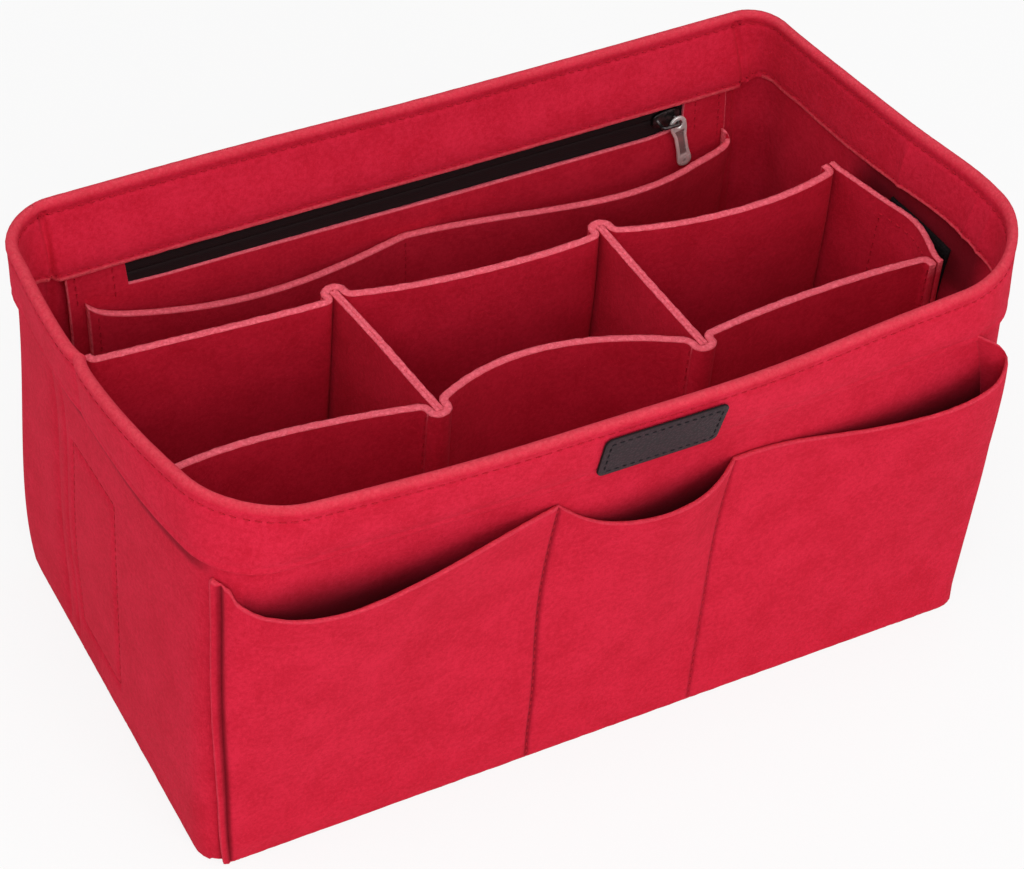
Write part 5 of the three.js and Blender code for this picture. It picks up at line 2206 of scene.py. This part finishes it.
@dataclass(frozen=True)
class Divider:
    """The lift-out divider: felt strips that stand on the floor, sewn at their turned-out ends."""

    form: ShellForm
    finishes: Finishes
    felt: float = 3.0
    end_felt: float = 2.4
    cross_felt: float = 1.7
    height: float = 132.0
    front_points: tuple[Pair, ...] = ((-143.0, -25.0), (-47.5, -30.5), (47.9, -38.6), (144.2, -36.3))
    back_points: tuple[Pair, ...] = ((-146.3, 33.0), (-55.0, 28.8), (44.0, 21.3), (137.6, 17.6))
    nubs: tuple[float, float, float, float] = (2.6, 3.2, 3.2, 3.8)
    fillet: float = 2.4
    back_bows: Triple = (0.6, 4.8, 6.4)
    front_bows: Triple = (4.5, 11.5, 3.0)
    end_bows: Pair = (1.0, 3.0)
    right_spread: float = 3.0
    edge_rough: float = 0.16
    patch_thickness: float = 1.2
    patch_width: float = 33.0
    patch_height: float = 100.0
    patch_drop: float = 4.0
    patch_ys: Pair = (14.0, -18.0)
    cells: tuple[str, str, str] = ("left", "middle", "right")

    @property
    def top(self) -> float:
        """Height of the divider's top edge."""
        return self.form.floor_top + self.height

    def is_end(self, k: int) -> bool:
        """True for the first and the last junction."""
        return k in (0, len(self.cells))

    def inset(self, k: int) -> float:
        """Distance of a long wall's turned-out leg from junction k's middle line."""
        return self.felt + self.form.seam_gap if self.is_end(k) else self.cross_felt + self.felt / 2.0 + 0.1

    def junction(self, k: int) -> dict[str, Array]:
        """Front and back points of junction k in plan, with its direction to the back and its normal to +X.

        Args:
            k: number of the junction, from 0 at the left end.

        Returns:
            The points front and back and the directions to_back and normal.
        """
        front, back = np.array(self.front_points[k]), np.array(self.back_points[k])
        to_back = unit(back - front)
        normal = np.array([to_back[1], -to_back[0]])
        return {"front": front, "back": back, "to_back": to_back, "normal": normal}

    @staticmethod
    def curve(start: Array, control: Array, end: Array, count: int) -> Array:
        """Points of a quadratic curve through two ends, drawn towards a control point."""
        t = np.linspace(0.0, 1.0, count)[:, None]
        return (1.0 - t) ** 2 * start + 2.0 * t * (1.0 - t) * control + t**2 * end

    def long_wall(self, cell: int, way: float, bow: float) -> Array:
        """Plan line of a cell's front or back wall, with its ends turned out as seam allowances.

        Args:
            cell: number of the cell.
            way: 1 for the back wall and -1 for the front one.
            bow: how far its middle bows into the cell.

        Returns:
            The points in X and Y.
        """
        first, second = self.junction(cell), self.junction(cell + 1)
        corner = "back" if way > 0 else "front"
        out_first, out_second = way * first["to_back"], way * second["to_back"]
        start = first[corner] + first["normal"] * self.inset(cell)
        end = second[corner] - second["normal"] * self.inset(cell + 1)
        control = (start + end) / 2.0 - out_first * 2.0 * bow
        wall_start = start + unit(control - start) * self.fillet
        wall_end = end + unit(control - end) * self.fillet
        bend_start, bend_end = start + out_first * self.fillet, end + out_second * self.fillet
        tip_start, tip_end = start + out_first * self.nubs[cell], end + out_second * self.nubs[cell + 1]
        return np.concatenate([
            blend(tip_start, bend_start, np.array([[0.0], [0.2], [0.6]])),
            self.curve(bend_start, start, wall_start, 7),
            self.curve(wall_start, control, wall_end, 40)[1:-1],
            self.curve(wall_end, end, bend_end, 7),
            blend(bend_end, tip_end, np.array([[0.4], [0.8], [1.0]])),
        ])

    def fold(self, k: int, corner: str, way: float) -> Array:
        """Plan half circle of the felt that folds round the ends of the layers at an inner junction.

        Args:
            k: number of the junction.
            corner: front or back.
            way: 1 for the back and -1 for the front.

        Returns:
            The points in X and Y.
        """
        ends = self.junction(k)
        turn = np.linspace(0.0, np.pi, 14)[:, None]
        centre = ends[corner] + way * ends["to_back"] * (self.nubs[k] - 0.3)
        ring = ends["normal"] * np.cos(turn) + way * ends["to_back"] * np.sin(turn) * 0.8
        return centre + self.inset(k) * ring

    def spread(self, points: Array) -> Array:
        """Points after the right end wall's upper part is bulged outwards by a bell curve along it.

        Args:
            points: points in millimetres.

        Returns:
            The moved points.
        """
        share = ramp(136.0, 141.0, points[..., 0]) * ramp(85.0, self.top, points[..., 2])
        moved = points.copy()
        moved[..., 0] += self.right_spread * share * bump(points[..., 1], -19.0, 13.0)
        return moved

    def standing(
        self, line: Array, thickness: float, low: float, high: float, offset: float = 0.0
    ) -> Skin:
        """A strip of felt that stands along a plan line.

        Args:
            line: points in X and Y.
            thickness: the felt's thickness.
            low: height of its lower edge.
            high: height of its upper edge.
            offset: distance of its middle to the left of the line.

        Returns:
            The closed skin.
        """
        ahead = unit(np.gradient(line, axis=0))
        left = np.stack([-ahead[:, 1], ahead[:, 0]], axis=-1)
        z = stops((low, 0), (low + 1.0, 1), (high - 1.4, 30), (high - 0.25, 3), (high, 1))[None]
        grids = []
        for step in (offset + thickness / 2.0, offset - thickness / 2.0):
            plan = line + left * step
            grid = np.stack(same_shape(plan[:, :1], plan[:, 1:], z), axis=-1)
            grids.append(self.spread(self.form.softness.moved(grid)))
        return closed_sheet(grids[0], grids[1], 0.3)

    def end_line(self, k: int) -> Array:
        """Plan curve of an end wall between its two junction points.

        Args:
            k: number of the junction.

        Returns:
            The points in X and Y.
        """
        outwards, bow = (-1.0, self.end_bows[0]) if k == 0 else (1.0, self.end_bows[1])
        ends = self.junction(k)
        control = (ends["front"] + ends["back"]) / 2.0 + ends["normal"] * outwards * 2.0 * bow
        return self.curve(ends["front"], control, ends["back"], 36)

    def nub_stitches(self) -> Skin:
        """Stitches through the layers of each nub, on both of its sides.

        Returns:
            The stitches as one skin.
        """
        row = StitchRow(pitch=3.9, length=3.0)
        rows = []
        z = np.linspace(self.top - 1.5, self.form.floor_top + 2.0, 60)
        for k in range(len(self.cells) + 1):
            ends = self.junction(k)
            for corner, way in (("front", -1.0), ("back", 1.0)):
                for sign in (-1.0, 1.0):
                    outside = (k == 0 and sign < 0) or (k == len(self.cells) and sign > 0)
                    step = sign * (self.end_felt / 2.0 if outside else self.inset(k) + self.felt / 2.0)
                    plan = ends[corner] + way * ends["to_back"] * (self.nubs[k] - 0.8) + ends["normal"] * step
                    path = np.concatenate([np.broadcast_to(plan, (len(z), 2)), z[:, None]], axis=1)
                    out = np.append(ends["normal"] * sign, 0.0)
                    rows.append(row.along(self.form.softness.moved(path), np.broadcast_to(out, path.shape)))
        return all_joined(rows)

    def patch_stitches(self) -> Skin:
        """Stitches round the hook patches, on the inner faces of the end walls.

        Returns:
            The stitches as one skin.
        """
        row = StitchRow(pitch=3.9, length=3.0)
        half, high = self.patch_width / 2.0 - 2.0, self.top - self.patch_drop - 2.0
        low = high - self.patch_height + 4.0
        rows = []
        for k, inwards, middle in ((0, 1.0, self.patch_ys[0]), (3, -1.0, self.patch_ys[1])):
            curve = self.end_line(k)
            y = middle + half * stops((-1.0, 0), (-1.0, 40), (1.0, 20), (1.0, 40))
            z = stops((low, 0), (high, 40), (high, 20), (low, 40))
            out = np.append(self.junction(k)["normal"] * inwards, 0.0)
            path = np.stack([np.interp(y, curve[:, 1], curve[:, 0]), y, z], axis=-1)
            path = path + out * (self.end_felt / 2.0 + 0.02)
            soft = self.spread(self.form.softness.moved(path))
            rows.append(row.along(soft, np.broadcast_to(out, path.shape)))
        return all_joined(rows)

    def strip(self, name: str, skin: Skin, seed: int, nodes: Sequence[str]) -> None:
        """Makes one felt strip of the divider with a rough cut edge, pale at the top only, where the paleness
        is partly a painted highlight.

        Args:
            name: the strip's name.
            skin: its skin.
            seed: seed of the rough edge.
            nodes: the solids that it stands for.
        """
        # painted highlight: the cut edge keeps its paleness only along the top, where the light falls
        pale = ramp(self.top - 2.4, self.top - 0.9, skin.points[:, 2])
        skin.cut_and_painted_light = skin.cut_and_painted_light * (0.1 + 0.9 * pale)
        skin = edge_wobble(skin, self.edge_rough, seed)
        piece(f"felt_{name}", skin, Body.DIVIDER, self.finishes.divider, nodes)

    def build(self) -> None:
        """Makes the divider's walls, their stitches and the hook patches."""
        low = self.form.floor_top
        for cell, name in enumerate(self.cells):
            walls = (("back", 1.0, self.back_bows[cell]), ("front", -1.0, self.front_bows[cell]))
            for place, way, bow in walls:
                skin = self.standing(self.long_wall(cell, way, bow), self.felt, low, self.top)
                node = f"divider_{place}_wall_{name}"
                self.strip(node, skin, 20 + cell, [node])
        for k, name in ((1, "left"), (2, "right")):
            ends = self.junction(k)
            share = stops((0.0, 0), (0.01, 1), (0.99, 34), (1.0, 1))[:, None]
            tail = ends["to_back"] * (self.nubs[k] + 0.4)
            line = blend(ends["front"] - tail, ends["back"] + tail, share)
            for row, layer in enumerate(("a", "b")):
                offset = (0.5 - row) * (self.cross_felt - 0.3)
                skin = self.standing(line, self.cross_felt, low, self.top, offset)
                node = f"divider_cross_wall_{name}_{layer}"
                self.strip(node, skin, 30 + row, [node])
            for corner, way in (("front", -1.0), ("back", 1.0)):
                skin = self.standing(self.fold(k, corner, way), self.felt, low, self.top)
                self.strip(f"divider_fold_{corner}_{name}", skin, 50 + k, [])
        half = self.patch_width / 2.0
        for (k, name, outwards), patch_y in zip(((0, "left", -1.0), (3, "right", 1.0)), self.patch_ys):
            ends = self.junction(k)
            curve = self.end_line(k)
            tail = ends["to_back"] * self.nubs[k] * np.array([[1.0], [0.9], [0.5]])
            line = np.concatenate([ends["front"] - tail, curve, ends["back"] + tail[::-1]])
            node = f"divider_end_wall_{name}"
            self.strip(node, self.standing(line, self.end_felt, low, self.top), 40 + k, [node])
            covered = (curve[:, 1] > patch_y - half) & (curve[:, 1] < patch_y + half)
            offset = -outwards * (self.end_felt / 2.0 + self.form.seam_gap / 2.0 + self.patch_thickness / 2.0)
            high = self.top - self.patch_drop
            skin = self.standing(curve[covered], self.patch_thickness, high - self.patch_height, high, offset)
            node = f"hook_patch_{name}"
            piece(f"hook_tape_{name}", skin, Body.DIVIDER, self.finishes.hook_loop, [node])
        threads = all_joined([self.nub_stitches(), self.patch_stitches()])
        piece("divider_stitches", threads, Body.DIVIDER, self.finishes.thread)


@dataclass(frozen=True)
class LoopPatches:
    """Loop tape on the inner faces of the end walls, opposite the divider's hook tape; the right one reaches
    higher than its solid, a black sheet that stands in for the shade in the gap above it.
    """

    form: ShellForm
    finishes: Finishes
    walls: Walls
    thickness: float = 1.2
    right_rise: float = 8.5

    def patch(self, side: Side, middle: float) -> Skin:
        """One patch as a closed sheet on the inner face of an end wall.

        Args:
            side: the side.
            middle: Y of its middle.

        Returns:
            The closed skin.
        """
        half = self.walls.patch_width / 2.0
        low, high = self.walls.patch_span()
        # the right tape is raised into the gap by the divider's end, partly as painted shade
        high = high + (self.right_rise if side is Side.RIGHT else 0.0)
        y = np.linspace(middle - half, middle + half, 16)[:, None]
        z = np.linspace(low, high, 36)[None]
        girth = self.form.mid_girth(side)
        forward = -y if side is Side.LEFT else y
        dip = self.walls.crease(side, forward / girth, z)
        base = self.form.felt + self.form.seam_gap / 2.0 + dip
        faces = [self.form.flat(side, y, z, base + k) for k in (self.thickness, 0.0)]
        return closed_sheet(faces[0], faces[1], 0.15)

    def build(self) -> None:
        """Makes both patches."""
        middles = {Side.LEFT: self.walls.left_patch_y, Side.RIGHT: self.walls.right_patch_y}
        for side, middle in middles.items():
            name = side.name.lower()
            skin, finish = self.patch(side, middle), self.finishes.hook_loop
            piece(f"loop_tape_{name}", skin, Body.SHELL, finish, [f"loop_patch_{name}"])


# Studio


def facing(place: Sequence[float], back: Array, roll: float = 0.0) -> Matrix:
    """Placing of a lamp or a camera that looks against a direction.

    Args:
        place: where it stands, in metres.
        back: direction of length 1 away from what it looks at.
        roll: its turn about that direction.

    Returns:
        The matrix.
    """
    level = unit(np.cross([0.0, 0.0, 1.0], back))
    above = np.cross(back, level)
    right = math.cos(roll) * level + math.sin(roll) * above
    up = -math.sin(roll) * level + math.cos(roll) * above
    matrix = np.eye(4)
    matrix[:3, :3] = np.stack([right, up, back], axis=1)
    matrix[:3, 3] = place
    return Matrix(matrix.tolist())


@dataclass(frozen=True)
class Lamp:
    """A soft square lamp aimed at the organizer."""

    name: str
    place: Triple
    size: float
    power: float
    aim: Triple = (0.0, 0.0, 0.07)

    def build(self) -> None:
        """Makes the lamp."""
        light = bpy.data.lights.new(self.name, "AREA")
        light.shape = "SQUARE"
        light.size = self.size
        light.energy = self.power
        back = unit(np.array(self.place) - np.array(self.aim))
        linked(self.name, light).matrix_world = facing(self.place, back)


@dataclass(frozen=True)
class Studio:
    """White floor and surroundings, soft lamps and the photograph's camera."""

    camera_place: Triple = (-420.746, -703.613, 892.520)
    azimuth: float = math.radians(-30.941)
    elevation: float = math.radians(45.013)
    roll: float = math.radians(4.934)
    lens: float = 115.568
    sensor: float = 36.0
    ambient: float = 0.46
    floor_white: float = 0.85
    white: Colour = (1.0, 1.0, 1.0)
    lamps: tuple[Lamp, ...] = (
        Lamp("front_lamp", (0.1, -1.8, 0.8), 1.0, 10.0),
        Lamp("key_lamp", (-0.75, -1.25, 1.7), 1.0, 11.0),
        Lamp("top_lamp", (-0.1, -0.25, 1.9), 1.0, 7.0),
        Lamp("left_lamp", (-1.8, 0.1, 0.9), 1.0, 4.4),
        Lamp("right_lamp", (1.2, -1.3, 1.0), 1.0, 2.2),
    )

    def camera(self) -> None:
        """Makes the camera from its angle about Z, its elevation above the floor and its roll."""
        az, el = self.azimuth, self.elevation
        back = np.array([math.sin(az) * math.cos(el), -math.cos(az) * math.cos(el), math.sin(el)])
        data = bpy.data.cameras.new("photo_camera")
        data.sensor_fit = "HORIZONTAL"
        data.sensor_width = self.sensor
        data.lens = self.lens
        data.clip_start, data.clip_end = 0.05, 20.0
        camera = linked("photo_camera", data)
        camera.matrix_world = facing(np.array(self.camera_place) * MM, back, self.roll)
        bpy.context.scene.camera = camera

    def floor(self) -> None:
        """Makes the floor: white to the camera, with a soft shadow left in it."""
        mesh = bpy.data.meshes.new("studio_floor")
        half, low = 4.0, -0.0006
        corners = [(-half, -half, low), (half, -half, low), (half, half, low), (-half, half, low)]
        mesh.from_pydata(corners, [], [(0, 1, 2, 3)])
        graph = Surface("studio_floor_white")
        graph.set(Base_Color=(0.86, 0.86, 0.86), Roughness=0.9, Specular_IOR_Level=0.1)
        share = graph.seen() * self.floor_white
        white = graph.node("ShaderNodeEmission", {}, {"Color": self.white, "Strength": 1.0})
        graph.shown(graph.node("ShaderNodeMixShader", {}, {0: share, 1: graph.own, 2: white}))
        mesh.materials.append(graph.material)
        floor = linked("studio_floor", mesh)

    def world(self) -> None:
        """Makes the surroundings: white to the camera and in reflections, plain soft light elsewhere."""
        world = bpy.data.worlds.new("studio_world")
        graph = Graph(world, "ShaderNodeOutputWorld")
        soft = graph.node("ShaderNodeBackground", {}, {"Color": self.white, "Strength": self.ambient})
        white = graph.node("ShaderNodeBackground", {}, {"Color": self.white, "Strength": 1.0})
        graph.shown(graph.node("ShaderNodeMixShader", {}, {0: graph.seen(), 1: soft, 2: white}))
        bpy.context.scene.world = world

    def build(self) -> None:
        """Makes the camera, floor, surroundings and lamps."""
        bpy.context.scene.view_settings.view_transform = "Standard"
        self.camera()
        self.floor()
        self.world()
        for lamp in self.lamps:
            lamp.build()


def main() -> None:
    """Builds the studio and every part of the organizer."""
    logging.basicConfig(level=logging.INFO, format="%(name)s: %(message)s")
    Studio().build()
    form = ShellForm()
    finishes = Finishes.made()
    walls = Walls(form, finishes)
    parts = [
        walls,
        RimBand(form, finishes, walls),
        FrontPockets(form, finishes),
        Label(form, finishes),
        BackLining(form, finishes),
        ZipHead(finishes),
        LoopPatches(form, finishes, walls),
        Divider(form, finishes),
    ]
    for part in parts:
        part.build()


if __name__ == "__main__":
    main()
